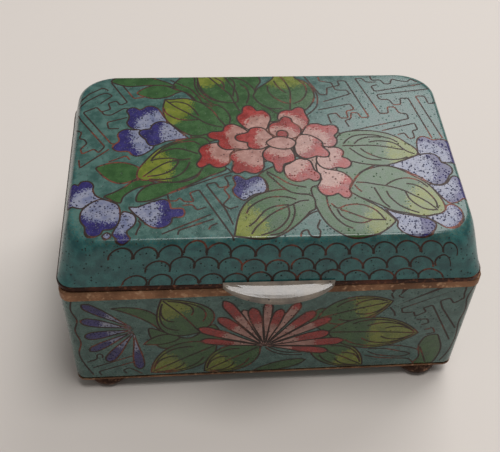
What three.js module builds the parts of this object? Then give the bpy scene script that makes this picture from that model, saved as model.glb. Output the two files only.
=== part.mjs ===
// A small cloisonne box: an enamelled copper base on four bun feet and a lift-off lid, with copper
// bands where the two meet and along the bottom edge, and a thumb lip in front.
// Millimetres, +Z up. The front is -Y. The origin is on the table, under the middle of the whole box.
import * as THREE from 'three';

// Overall sizes. Both halves share one outline, the outer face of the rims.
const WIDTH = 100; // across the rims, left to right
const DEPTH = 66.2; // across the rims, front to back
const WALL = 1.6; // copper sheet with enamel on both faces
const FOOT_HEIGHT = 3.9;
const SEAM = 40; // the lid rests on the base at this height
const CREASE = 53.5; // the rounded shoulder of the lid runs into its top here
const DOME = 0.8; // rise of the lid's top from crease to middle
const LID_PLAY = 0.8; // degrees by which the loose lid and the base are out of line

// Base, as distances in from the outline
const BASE_TOP_INSET = 0.15;
const BASE_FOOT_INSET = 0.55;
const BASE_CORNER = 2.8;
const BASE_RIM_HEIGHT = 2.5;
const BASE_RIM_PROUD = 0.15;
const BOTTOM_RIM_HEIGHT = 0.8;
const BOTTOM_RIM_THICK = 0.8;
const BOTTOM_RIM_EDGE = 0.25; // small chamfer along its lower edge
const EDGE_ROUND = 1; // lower edge of the enamel, rounded under to the bottom rim
const BAND_GAP = 0.3;
const REBATE_CORNER = 1.8; // corner of the rebate that takes the bottom rim
const INNER_CORNER = 1.2; // smallest corner inside the base

// Collar on the base rim, inside the lid
const COLLAR_INSET = 3.2;
const COLLAR_THICK = 0.9;
const COLLAR_RISE = 2.7;

// Lid
const LID_RIM_HEIGHT = 1.6;
const LID_RIM_THICK = 2.2;
const RIM_EDGE = 0.35; // small chamfer where the two rims meet
const LID_CORNER = 4;
const CREASE_CORNER = 9.5;
const LID_INSET = 0.2;
const CREASE_INSET = 4;
const FLARE_PULL = 1.7; // how far the flared side leans in before the shoulder
const FLARE_HEIGHT = 5.3;
const SHOULDER_PULL = 2.05; // how far in the shoulder starts to round over

// Thumb lip
const LIP_MIDDLE = 1.5; // it sits a little right of the middle
const LIP_SPAN = 26.2;
const LIP_REACH = 4.3;
const LIP_DROOP = 1.7;
const LIP_THICK = 1.3;
const LIP_FILLET = 0.6;
const LIP_END_REACH = 0.25;
const LIP_EDGE_SHARE = 0.75; // the free edge is thinner than the root by this share
const LIP_BEND = 1.6; // power of the droop: level at the root, steepest at the edge
const LIP_FULLNESS = 0.62; // power of the outline: less makes the crescent squarer

// Feet, soldered on by eye: name, then the middle of each in x and y
const FEET = [
  ['front_left', -41.5, -27.3],
  ['front_right', 40.9, -28],
  ['back_left', -41.3, 27.4],
  ['back_right', 41.2, 27.4],
];
const FOOT_PROFILE = [
  [0, 0],
  [3.2, 0],
  [4.6, 0.6],
  [5.3, 1.5],
  [5.4, 2.3],
  [5, 3.1],
  [4.3, FOOT_HEIGHT],
  [0, FOOT_HEIGHT],
];

const CORNER_STEPS = 8;
const FOOT_STEPS = 24;

const enamel = new THREE.MeshStandardMaterial({ color: 0x3c8480, roughness: 0.25, metalness: 0 });
const darkCopper = new THREE.MeshStandardMaterial({ color: 0x4a2c1c, roughness: 0.5, metalness: 1 });
const brightCopper = new THREE.MeshStandardMaterial({ color: 0xa45c34, roughness: 0.4, metalness: 1 });
const greyEnamel = new THREE.MeshStandardMaterial({ color: 0x7a9496, roughness: 0.2, metalness: 0 });

// One level ring of a rounded rectangle, counterclockwise seen from above. The inset is measured in
// from the outline. Straight sides are divided where the surface above them curves.
function ring(inset, corner, height, sideSteps = [1, 1]) {
  const halfX = WIDTH / 2 - inset;
  const halfY = DEPTH / 2 - inset;
  const corners = [[1, -1, -0.5], [1, 1, 0], [-1, 1, 0.5], [-1, -1, 1]];
  const points = [];
  for (const [index, [sideX, sideY, turns]] of corners.entries()) {
    for (let step = 0; step <= CORNER_STEPS; step += 1) {
      const angle = (turns + (0.5 * step) / CORNER_STEPS) * Math.PI;
      const x = sideX * (halfX - corner) + corner * Math.cos(angle);
      const y = sideY * (halfY - corner) + corner * Math.sin(angle);
      points.push(new THREE.Vector3(x, y, height));
    }
    const start = points[points.length - 1];
    const heading = (turns + 1) * Math.PI;
    const along = new THREE.Vector3(Math.cos(heading), Math.sin(heading), 0);
    const straight = 2 * ((index % 2 === 0 ? halfY : halfX) - corner);
    const steps = sideSteps[index % 2];
    for (let step = 1; step < steps; step += 1) {
      points.push(start.clone().addScaledVector(along, (straight * step) / steps));
    }
  }
  return points;
}

// Joins rings of equal length into one closed surface. A looped surface joins the last ring to the
// first, as a frame does; otherwise the first and last rings are closed with a fan.
function skin(rings, looped) {
  const size = rings[0].length;
  const positions = rings.flat().flatMap((point) => point.toArray());
  const faces = [];
  const joins = looped ? rings.length : rings.length - 1;
  for (let level = 0; level < joins; level += 1) {
    const lower = level * size;
    const upper = ((level + 1) % rings.length) * size;
    for (let step = 0; step < size; step += 1) {
      const next = (step + 1) % size;
      faces.push(lower + step, lower + next, upper + next);
      faces.push(lower + step, upper + next, upper + step);
    }
  }
  if (!looped) {
    const ends = [[rings[0], 0, false], [rings[rings.length - 1], (rings.length - 1) * size, true]];
    for (const [end, first, forward] of ends) {
      const middle = new THREE.Vector3();
      end.forEach((point) => middle.addScaledVector(point, 1 / size));
      const centre = positions.length / 3;
      positions.push(...middle.toArray());
      for (let step = 0; step < size; step += 1) {
        const pair = [first + step, first + ((step + 1) % size)];
        faces.push(centre, ...(forward ? pair : pair.reverse()));
      }
    }
  }
  const geometry = new THREE.BufferGeometry();
  geometry.setAttribute('position', new THREE.Float32BufferAttribute(positions, 3));
  geometry.setIndex(faces);
  geometry.computeVertexNormals();
  return geometry;
}

// A frame of constant section: corners of the section as [inset, height], outside upwards first.
function frame(section, cornerAt) {
  return skin(section.map(([inset, height]) => ring(inset, cornerAt(inset), height)), true);
}

// Base: walls that lean in slightly to a rounded lower edge, a rebate for the bottom rim and a flat floor.
function baseBody() {
  const top = SEAM - BASE_RIM_HEIGHT;
  const rebate = BASE_FOOT_INSET + BOTTOM_RIM_THICK + BAND_GAP;
  const shelf = FOOT_HEIGHT + BOTTOM_RIM_HEIGHT;
  const middleInset = WIDTH / 5;
  const inner = (inset) => Math.max(BASE_CORNER - inset, INNER_CORNER);
  const rings = [
    ring(middleInset, INNER_CORNER, FOOT_HEIGHT),
    ring(rebate, REBATE_CORNER, FOOT_HEIGHT),
    ring(rebate, REBATE_CORNER, shelf),
  ];
  for (const angle of [0, 30, 60, 90].map(THREE.MathUtils.degToRad)) {
    const inset = BASE_FOOT_INSET + (EDGE_ROUND / 2) * (1 - Math.sin(angle));
    rings.push(ring(inset, BASE_CORNER - inset / 2, shelf + EDGE_ROUND * (1 - Math.cos(angle))));
  }
  rings.push(ring(BASE_TOP_INSET, BASE_CORNER, top));
  rings.push(ring(BASE_TOP_INSET + WALL, inner(WALL), top));
  rings.push(ring(BASE_FOOT_INSET + WALL, inner(WALL), FOOT_HEIGHT + WALL + EDGE_ROUND));
  rings.push(ring(BASE_FOOT_INSET + WALL + EDGE_ROUND, inner(WALL), FOOT_HEIGHT + WALL));
  rings.push(ring(middleInset, INNER_CORNER, FOOT_HEIGHT + WALL));
  return skin(rings, false);
}

function bottomRim() {
  const outer = BASE_FOOT_INSET;
  const inner = outer + BOTTOM_RIM_THICK;
  const top = FOOT_HEIGHT + BOTTOM_RIM_HEIGHT;
  const section = [
    [outer + BOTTOM_RIM_EDGE, FOOT_HEIGHT],
    [outer, FOOT_HEIGHT + BOTTOM_RIM_EDGE],
    [outer, top],
    [inner, top],
    [inner, FOOT_HEIGHT],
  ];
  return frame(section, (inset) => BASE_CORNER - inset / 2);
}

function baseRim() {
  const outer = BASE_TOP_INSET - BASE_RIM_PROUD;
  const bottom = SEAM - BASE_RIM_HEIGHT;
  const section = [
    [outer, bottom],
    [outer, SEAM - RIM_EDGE],
    [outer + RIM_EDGE, SEAM],
    [COLLAR_INSET, SEAM],
    [COLLAR_INSET, SEAM + COLLAR_RISE - RIM_EDGE],
    [COLLAR_INSET + RIM_EDGE, SEAM + COLLAR_RISE],
    [COLLAR_INSET + COLLAR_THICK, SEAM + COLLAR_RISE],
    [COLLAR_INSET + COLLAR_THICK, bottom],
  ];
  return frame(section, (inset) => Math.max(BASE_CORNER - inset / 2, INNER_CORNER));
}

function lidRim() {
  const top = SEAM + LID_RIM_HEIGHT;
  const section = [
    [RIM_EDGE, SEAM],
    [0, SEAM + RIM_EDGE],
    [0, top - LID_INSET],
    [LID_INSET, top],
    [LID_RIM_THICK, top],
    [LID_RIM_THICK, SEAM],
  ];
  return frame(section, (inset) => LID_CORNER - inset / 2);
}

// Side and shoulder of the lid as a curve of [inset, height], moved in by the given thickness.
function lidSide(thickness, steps) {
  const low = SEAM + LID_RIM_HEIGHT;
  const high = CREASE - thickness;
  const start = LID_INSET + thickness;
  const curve = new THREE.CubicBezierCurve(
    new THREE.Vector2(start, low),
    new THREE.Vector2(start + FLARE_PULL, low + FLARE_HEIGHT),
    new THREE.Vector2(start + SHOULDER_PULL, high),
    new THREE.Vector2(LID_INSET + CREASE_INSET + thickness, high),
  );
  return curve.getPoints(steps);
}

// The lid's top inside an edge ring: smaller copies of the ring, lifted over the dome.
function lidTop(edge, shares) {
  const halfX = WIDTH / 2 - LID_INSET - CREASE_INSET;
  const halfY = DEPTH / 2 - LID_INSET - CREASE_INSET;
  return shares.map((share) => edge.map((point) => {
    const x = point.x * share;
    const y = point.y * share;
    const rise = DOME * (1 - (x / halfX) ** 2) * (1 - (y / halfY) ** 2);
    return new THREE.Vector3(x, y, point.z + Math.max(0, rise));
  }));
}

// Lid: the underside of its top, down the inner wall, then up the outer side and over the dome.
function lidShell() {
  const sideSteps = [5, 8];
  const underShares = [0.3, 0.7];
  const overShares = [1, 0.85, 0.68, 0.5, 0.32, 0.15];
  const wall = (thickness, steps) => lidSide(thickness, steps).map((point, index) => {
    const corner = LID_CORNER - thickness / 2 + ((CREASE_CORNER - LID_CORNER) * index) / steps;
    return ring(point.x, corner, point.y, sideSteps);
  });
  const inside = wall(WALL, 6).reverse();
  const outside = wall(0, 10);
  const under = lidTop(inside[0], underShares);
  const over = lidTop(outside.pop(), overShares);
  return skin([...under, ...inside, ...outside, ...over], false);
}

// Thumb lip: a crescent of bent sheet that leaves the lid rim's front face and droops towards its edge.
function thumbLip() {
  const stations = 18;
  const crossSteps = 6;
  const filletReach = 0.9;
  const front = -DEPTH / 2;
  const top = SEAM + LID_RIM_HEIGHT;
  const surface = (out) => {
    const fillet = LIP_FILLET * Math.max(0, 1 - out / filletReach) ** 2;
    return top - LIP_DROOP * (out / LIP_REACH) ** LIP_BEND + fillet;
  };
  const rings = [];
  for (let station = 0; station <= stations; station += 1) {
    const across = -Math.cos((station / stations) * Math.PI);
    const x = LIP_MIDDLE + (across * LIP_SPAN) / 2;
    const reach = Math.max(LIP_REACH * (1 - across ** 2) ** LIP_FULLNESS, LIP_END_REACH);
    const upper = [];
    const lower = [];
    for (let step = 0; step <= crossSteps; step += 1) {
      const out = (reach * step) / crossSteps;
      const thick = LIP_THICK * (step === crossSteps ? LIP_EDGE_SHARE : 1);
      upper.push(new THREE.Vector3(x, front - out, surface(out) - (LIP_THICK - thick) / 2));
      lower.push(new THREE.Vector3(x, front - out, Math.min(surface(out), top) - thick));
    }
    rings.push([...upper, ...lower.reverse()]);
  }
  return skin(rings, false);
}

function foot() {
  const profile = FOOT_PROFILE.map(([radius, height]) => new THREE.Vector2(radius, height));
  return new THREE.LatheGeometry(profile, FOOT_STEPS).rotateX(Math.PI / 2);
}

function piece(name, geometry, material) {
  const mesh = new THREE.Mesh(geometry, material);
  mesh.name = name;
  return mesh;
}

const base = new THREE.Group();
base.add(piece('base_body', baseBody(), enamel.clone()));
base.add(piece('base_rim', baseRim(), brightCopper.clone()));
base.add(piece('bottom_rim', bottomRim(), brightCopper.clone()));
for (const [place, x, y] of FEET) {
  const bun = piece(`foot_${place}`, foot(), darkCopper.clone());
  bun.position.set(x, y, 0);
  base.add(bun);
}
base.rotation.z = THREE.MathUtils.degToRad(LID_PLAY);

const lid = new THREE.Group();
lid.add(piece('lid_shell', lidShell(), enamel.clone()));
lid.add(piece('lid_rim', lidRim(), darkCopper.clone()));
lid.add(piece('thumb_lip', thumbLip(), greyEnamel.clone()));

// The lip makes the box deeper in front, so the whole is moved until its bounds are centred.
const box = new THREE.Group();
box.add(base, lid);
const middle = new THREE.Box3().setFromObject(box, true).getCenter(new THREE.Vector3());
box.position.set(-middle.x, -middle.y, 0);

export default box;
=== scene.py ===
"""Cloisonne box dressed on its frame: enamel skins laid out wire by wire, patinated copper bands, thumb lip
and feet. The frame is in metres; the ornament is drawn in millimetres on the flattened surfaces, and each
outline is set point by point."""

import math
import random
from collections import namedtuple

import bpy
import numpy as np
from mathutils import Matrix, Vector
from mathutils.geometry import delaunay_2d_cdt


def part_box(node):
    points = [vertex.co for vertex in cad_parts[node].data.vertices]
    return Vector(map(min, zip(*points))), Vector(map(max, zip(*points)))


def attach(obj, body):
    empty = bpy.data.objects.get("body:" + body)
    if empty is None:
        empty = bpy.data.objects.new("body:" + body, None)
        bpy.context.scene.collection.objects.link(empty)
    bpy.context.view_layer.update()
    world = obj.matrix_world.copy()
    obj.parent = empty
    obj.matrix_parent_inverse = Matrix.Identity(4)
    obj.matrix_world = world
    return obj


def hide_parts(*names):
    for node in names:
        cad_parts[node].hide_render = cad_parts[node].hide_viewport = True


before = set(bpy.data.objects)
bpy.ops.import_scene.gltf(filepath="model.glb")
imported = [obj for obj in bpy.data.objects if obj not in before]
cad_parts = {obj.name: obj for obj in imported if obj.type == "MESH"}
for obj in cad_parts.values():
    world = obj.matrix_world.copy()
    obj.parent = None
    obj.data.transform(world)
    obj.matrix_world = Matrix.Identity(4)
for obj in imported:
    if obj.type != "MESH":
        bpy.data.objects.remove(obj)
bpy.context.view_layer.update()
MM = 0.001

# --- Sizes, in millimetres --------------------------------------------------------------------------
RIM_LOW, RIM_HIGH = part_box("lid_rim")
HALF_X = (RIM_HIGH.x - RIM_LOW.x) / 2 / MM  # outline shared by lid and base: the outer face of the rims
HALF_Y = (RIM_HIGH.y - RIM_LOW.y) / 2 / MM
MIDDLE_X = (RIM_HIGH.x + RIM_LOW.x) / 2 / MM
MIDDLE_Y = (RIM_HIGH.y + RIM_LOW.y) / 2 / MM
LID_FOOT = RIM_HIGH.z / MM  # lower edge of the lid's enamel
WALL = 1.6
CREASE = 53.5
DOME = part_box("lid_shell")[1].z / MM - CREASE
CREASE_INSET = 4.2
LID_CORNER = 4.0
CREASE_CORNER = 9.5
SIDE_INSETS = (0.2, 1.9, 2.25, 4.2)  # handles of the lid's side curve, in from the outline
SIDE_HANDLE = 46.9
LID_PLAY = math.radians(0.8)  # the base stands turned by this much under the lid
FOOT_HEIGHT = 3.9
BASE_TOP = 37.5
BASE_BEND = 5.7  # below this the base's side is rounded under
BASE_SHELF = 4.7
BASE_TOP_INSET = 0.15
BASE_FOOT_INSET = 0.55
BASE_CORNER = 2.8
REBATE = 1.65
BEND_LENGTH = 1.3  # length of the rounded edge, measured down the surface

# --- Drawing kit ------------------------------------------------------------------------------------
WIRE = 0.44  # width of a wire on the polished face
STEP = 0.6  # spacing of the points along a wire

Cell = namedtuple("Cell", "outline glaze heart reach tint")
Wire = namedtuple("Wire", "path width")


def curve(points, closed=False):
    """Smooth line through given points; a point given twice is a sharp corner."""
    points = [np.array(point, float) for point in points]
    count = len(points)

    def heading(before, point, after):
        back, on = point - before, after - point
        near, far = np.linalg.norm(back), np.linalg.norm(on)
        if near < 1e-6 or far < 1e-6:
            run = back + on
            return run / max(np.linalg.norm(run), 1e-6)
        return (back / near * far + on / far * near) / (near + far)

    line = []
    for index in range(count if closed else count - 1):
        start, end = points[index], points[(index + 1) % count]
        length = np.linalg.norm(end - start)
        if length < 1e-6:
            continue
        before = points[index - 1] if closed or index else start
        after = points[(index + 2) % count] if closed or index + 2 < count else end
        leave, arrive = heading(before, start, end) * length, heading(start, end, after) * length
        steps = max(1, round(length / STEP))
        for step in range(steps):
            t = step / steps
            line.append((2 * t**3 - 3 * t**2 + 1) * start + (t**3 - 2 * t**2 + t) * leave
                        + (3 * t**2 - 2 * t**3) * end + (t**3 - t**2) * arrive)
    if not closed:
        line.append(points[-1])
    return np.array(line)


def bent(points, radius=0.6):
    """Straight wire with its corners bent round a small radius."""
    points = [np.array(point, float) for point in points]
    line = [points[0]]
    for before, corner, after in zip(points, points[1:], points[2:]):
        back, on = before - corner, after - corner
        cut = min(radius, np.linalg.norm(back) * 0.45, np.linalg.norm(on) * 0.45)
        start = corner + back / np.linalg.norm(back) * cut
        end = corner + on / np.linalg.norm(on) * cut
        for t in (0, 0.25, 0.5, 0.75, 1):
            line.append(start * (1 - t) ** 2 + corner * 2 * t * (1 - t) + end * t**2)
    line.append(points[-1])
    return np.array(line)


def leaf_edge(root, tip, bulge, at=0.5):
    """One edge of a leaf, from root to tip; a positive bulge is on the left."""
    root, tip = np.array(root, float), np.array(tip, float)
    along = tip - root
    across = np.array((-along[1], along[0])) / np.linalg.norm(along)
    first = root + along * (at * 0.36) + across * bulge * 1.38
    second = root + along * (0.42 + at * 0.5) + across * bulge * 1.28
    steps = max(6, round((np.linalg.norm(along) + abs(bulge)) / STEP))
    t = np.linspace(0, 1, steps + 1)[:, None]
    return root * (1 - t) ** 3 + first * 3 * t * (1 - t) ** 2 + second * 3 * t**2 * (1 - t) + tip * t**3


class Drawing:
    """Shapes in the order in which they are laid; a later one covers an earlier one."""

    def __init__(self, seed):
        self.shapes = []
        self.random = random.Random(seed)

    def cell(self, outline, glaze, heart=(0, 0), reach=0.0):
        self.shapes.append(Cell(np.array(outline), glaze, np.array(heart, float), reach, self.random.random()))

    def wire(self, path, width=WIRE):
        self.shapes.append(Wire(np.array(path), width))

    def wires(self, *paths):
        for path in paths:
            self.wire(curve(path))

    def petal(self, points, glaze, heart, reach):
        """Petal in two colours that meet at the given reach from its heart."""
        self.cell(curve(points, closed=True), glaze, heart, reach)

    def leaf(self, points, heart=(0, 0), reach=0.0, veins=()):
        """Green leaf, yellow within reach of its heart, with its veins of wire."""
        self.cell(curve(points, closed=True), "leaf", heart, reach)
        self.wires(*veins)

    def ray(self, focus, tip, width, share, glaze):
        """Narrow petal of a chrysanthemum; share of its length near the focus is pale."""
        focus, tip = np.array(focus, float), np.array(tip, float)
        along = tip - focus
        across = np.array((-along[1], along[0])) / np.linalg.norm(along)
        stations = (0.3, 0.2), (0.5625, 0.42), (0.75, 0.5), (0.95, 0.34)
        left = [focus + along * t + across * width * w for t, w in stations]
        right = [focus + along * t - across * width * w for t, w in reversed(stations)]
        self.cell(curve([focus, focus, *left, tip, *right], closed=True), glaze, focus,
                  share * np.linalg.norm(along))

    def nested_leaf(self, tip, root, left, right, zone=0.0, at=0.5, veins=(0.78, 0.5)):
        """Leaf between two bulged edges, with a midrib and smaller leaves of wire nested towards its tip."""
        tip, root = np.array(tip, float), np.array(root, float)
        edges = leaf_edge(root, tip, left, at), leaf_edge(root, tip, -right, at)
        axis = (tip - root) / np.linalg.norm(tip - root)
        beyond = 5  # how far past the tip the heart of the yellow lies
        heart = tip + axis * beyond
        self.cell(np.concatenate([edges[0][:-1], edges[1][:0:-1]]), "leaf", heart, zone + beyond if zone else 0)
        for share in veins:
            for number, edge in enumerate(edges):
                start = len(edge) // (5 + number)
                self.wire((tip - axis * 0.8 + (edge[start:-1] - tip) * share)[:-1])
        if veins:
            self.wire(curve([root + axis * 0.6, (root + tip) / 2 + (0.3, 0.3), tip - axis * 0.6]))


# --- Ornament of the lid's top ----------------------------------------------------------------------
def lid_top(d):
    fret_right(d)
    fret_left(d)
    fret_low(d)
    d.leaf([(14, -1), (15, 4.5), (20, 4.8), (29, 2), (34, -3), (26.2, -7.1), (22.2, -9.8), (20.4, -12.8),
            (22, -16), (24, -19), (22.5, -18.4), (19.4, -17.4), (13.5, -20), (10.2, -18), (5, -18),
            (-1, -15.6), (-2.2, -10), (0, -8), (4, -6)])
    d.leaf([(-17.2, 2), (-18.5, 6), (-17.2, 18.7), (-19.4, 22.2), (-22.6, 24.8), (-20, 30), (-16.9, 36),
            (-4, 36), (0, 30), (0.6, 26.8), (-0.7, 24), (-0.8, 20), (0.4, 16.4), (5, 14.8), (7, 8),
            (-2, 6), (-11, 3)])
    leaves_left(d)
    leaves_back(d)
    leaves_right(d)
    leaves_low(d)
    blue_flowers_left(d)
    blue_flowers_right(d)
    peony(d)


def leaves_left(d):
    d.leaf([(-39, 27.8), (-36.3, 26), (-34.5, 25.4), (-32, 25.5), (-29, 25.8), (-26, 25.7), (-24, 25.3),
            (-22, 24.9), (-24, 26.8), (-26.3, 28.1), (-29, 29.4), (-33, 30), (-37, 29.6)])
    d.leaf([(-32, 22.4), (-30.2, 24.5), (-28.1, 25.6), (-25.9, 25.7), (-24.1, 25.2), (-22.4, 24),
            (-20.6, 22.9), (-22, 22), (-23.4, 20.9), (-25.2, 20.2), (-27.7, 20), (-29.9, 20.8)])
    d.wires([(-20.6, 22.9), (-19.2, 22.3), (-17.9, 20.9), (-17.1, 19.4), (-16.5, 18.4), (-14.7, 17.2),
             (-12.9, 15), (-11.8, 13), (-11.4, 10.8)],
            [(-23.4, 28), (-20, 25.3), (-18.4, 24.2), (-17.1, 22.2), (-15.8, 19.8), (-15, 17.8),
             (-13.6, 17.3), (-12.4, 16)])
    d.leaf([(-24.7, 19.5), (-24.7, 19.5), (-22.7, 19.5), (-20.6, 19.8), (-18.4, 19.5), (-17, 18.8),
            (-14.7, 17.2), (-12.9, 15), (-11.8, 13), (-11, 11), (-9.6, 8), (-11, 5.4), (-14.1, 5.2),
            (-15.9, 4.6), (-17.7, 4.7), (-19.9, 5.9), (-22, 8.1), (-24.1, 10.6), (-25, 13.4),
            (-25.2, 16.3)], (-26.2, 17.2), 8.6, (
        [(-24.5, 19.1), (-22, 16.3), (-19.1, 13.8), (-16.6, 11.5), (-13.8, 9.1), (-10.2, 7.7)],
        [(-23.8, 18.2), (-21.6, 18.4), (-19.1, 17.4), (-17.4, 15.2), (-16.1, 12.4)],
        [(-24.9, 15.8), (-24.6, 14.2), (-23.4, 12.7), (-21.3, 11.3), (-19.1, 10.8), (-16.3, 10.9)]))
    d.wires([(-11.6, 17), (-9.9, 15.6), (-8.6, 13.4), (-8.1, 10.9), (-8.4, 9.1)])
    d.leaf([(-31.1, -17.6), (-31.1, -15.9), (-30.2, -14.1), (-29.1, -13), (-26.6, -11.9), (-23.4, -11.6),
            (-20.6, -11.7), (-17, -10), (-14.9, -6), (-11, -6), (-9.9, -7.3), (-14.1, -10),
            (-18.5, -12.6), (-22, -14.4), (-24.5, -15.9), (-27, -17.1), (-29.5, -17.8)])
    d.leaf([(-38.6, -15.9), (-36.3, -14.4), (-33.8, -12.6), (-32, -10.9), (-30.6, -10.5), (-27.7, -11.2),
            (-27, -11.7), (-28.8, -12.5), (-30.9, -13.2), (-32.7, -14.4), (-34.3, -16.2), (-34.9, -18),
            (-36.3, -17.5), (-37.5, -16.6)])
    d.leaf([(-41.1, -6), (-39.5, -5), (-37.4, -4.4), (-34.9, -4.4), (-32.7, -5.1), (-30.9, -6.4),
            (-30.6, -9.4), (-32.7, -11), (-34.9, -11.6), (-37, -10.9), (-38.8, -9.4), (-40.2, -7.6)])
    d.leaf([(-31.1, -9.7), (-31.1, -7.6), (-29.9, -5.1), (-28.1, -2.3), (-26.3, -0.1), (-24.1, 1.6),
            (-22, 2.7), (-19.1, 3.6), (-15, 3.8), (-13, 0), (-15, -6), (-17, -9.4), (-19.5, -10.9),
            (-22, -11.7), (-25.2, -11.4), (-27.7, -10.9), (-30.2, -10.5)], (-32, -7), 9.2, (
        [(-27.7, -3.2), (-26.3, -1.2), (-24.1, 0.9), (-22, 2), (-19.9, 2.5), (-17.4, 2.4), (-16.1, 1.3)],
        [(-27.9, -3.7), (-26.3, -1.6), (-23.8, -0.3), (-21.3, 0), (-18.8, -0.9), (-16.6, -2.1)],
        [(-28.1, -4.1), (-26.3, -3.5), (-23.4, -3.4), (-20.6, -4.1), (-18.4, -3.7)],
        [(-29.8, -9.6), (-27, -6.9), (-24.9, -5.3), (-22.7, -4.4), (-21.5, -4.4), (-22.2, -6.6),
         (-23.8, -8.2), (-25.9, -9.1), (-28.8, -9.5)],
        [(-18.6, -4.8), (-19.3, -6.9), (-20.9, -9.1), (-23.1, -10.3), (-25.6, -10.7), (-28.4, -10.4)]))


def leaves_back(d):
    d.wires([(-16.1, 31), (-16.1, 27.7), (-16.2, 25.3), (-15.4, 22.9), (-14.2, 20.8), (-12.8, 19.3),
             (-11.3, 18.5), (-9.5, 17.8), (-7.8, 17.7)],
            [(-17, 31), (-16.9, 27.5), (-16.9, 25.3), (-16.4, 23.2), (-15.5, 21.1), (-13.9, 19),
             (-12.4, 17.2), (-11.5, 16.5)],
            [(-15.8, 28.5), (-14.7, 26.6), (-13.2, 24.8), (-11.7, 23.9)],
            [(-15.5, 25.3), (-14.7, 23.5), (-13.4, 21.4), (-12.1, 19.9), (-11, 19.5)])
    d.leaf([(-15.4, 33), (-16.1, 28), (-15.6, 25), (-14.7, 22.6), (-13.4, 20.6), (-11, 18.6), (-6, 18),
            (-6, 22), (-8, 27), (-11, 33)], (-14.4, 31.5), 6.8, (
        [(-13.6, 30), (-11.8, 27.2), (-10.3, 25), (-8.9, 22.9), (-7.6, 20.8), (-7.1, 19), (-6.4, 16.6),
         (-5.6, 14.2)],
        [(-11.6, 28.9), (-10, 27.4), (-9.2, 25.6), (-9.2, 24)]))
    d.wires([(-7.6, 28.5), (-6.6, 27.2), (-6.3, 25.3), (-6.7, 22.7), (-7, 20.3)],
            [(-5, 26), (-3.7, 24.5), (-2.9, 22.4), (-3, 19.3), (-3.7, 17.2)],
            [(-7.4, 29.6), (-5.8, 28.5), (-4.2, 27.7), (-2.6, 25.8), (-1.3, 23.5), (-0.9, 21.4),
             (-0.7, 19.5)])
    d.leaf([(7, 34), (4.4, 31), (4.1, 28.5), (2.6, 26.6), (1, 25), (-0.3, 23.7), (-1, 22.2), (-1.6, 20.6),
            (-1, 18.5), (0.3, 16.6), (1.8, 15.3), (4, 13), (9, 12.5), (11.8, 14.5), (12.8, 15.8),
            (13.9, 17.9), (14.5, 20.3), (14.3, 22.7), (13.7, 25), (12.1, 26.9), (10.3, 28),
            (9.6, 31)], (7, 32), 8.2, (
        [(5.9, 29.6), (7.1, 26.9), (7.9, 24.3), (8.2, 21.6), (8, 18.7), (7.5, 14.5)],
        [(2.4, 24.9), (2.4, 22.7), (3.2, 20.6), (4.7, 18.7), (6.3, 17.4), (7.4, 17)],
        [(8.5, 16.9), (10.3, 17.9), (11.8, 19.8), (12.6, 22.4), (12.4, 25), (11, 27.2)],
        [(4.2, 27.2), (5, 24.8), (6, 22.9), (7.2, 21.6)],
        [(-1, 18.5), (0.3, 16.6), (2, 15.3), (3.8, 14.8), (5.7, 15)]))
    d.wires([(14, 24.4), (15.1, 21.4), (15.1, 18.2), (14.5, 15.6), (13.2, 13.7), (11.6, 12)])


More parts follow.
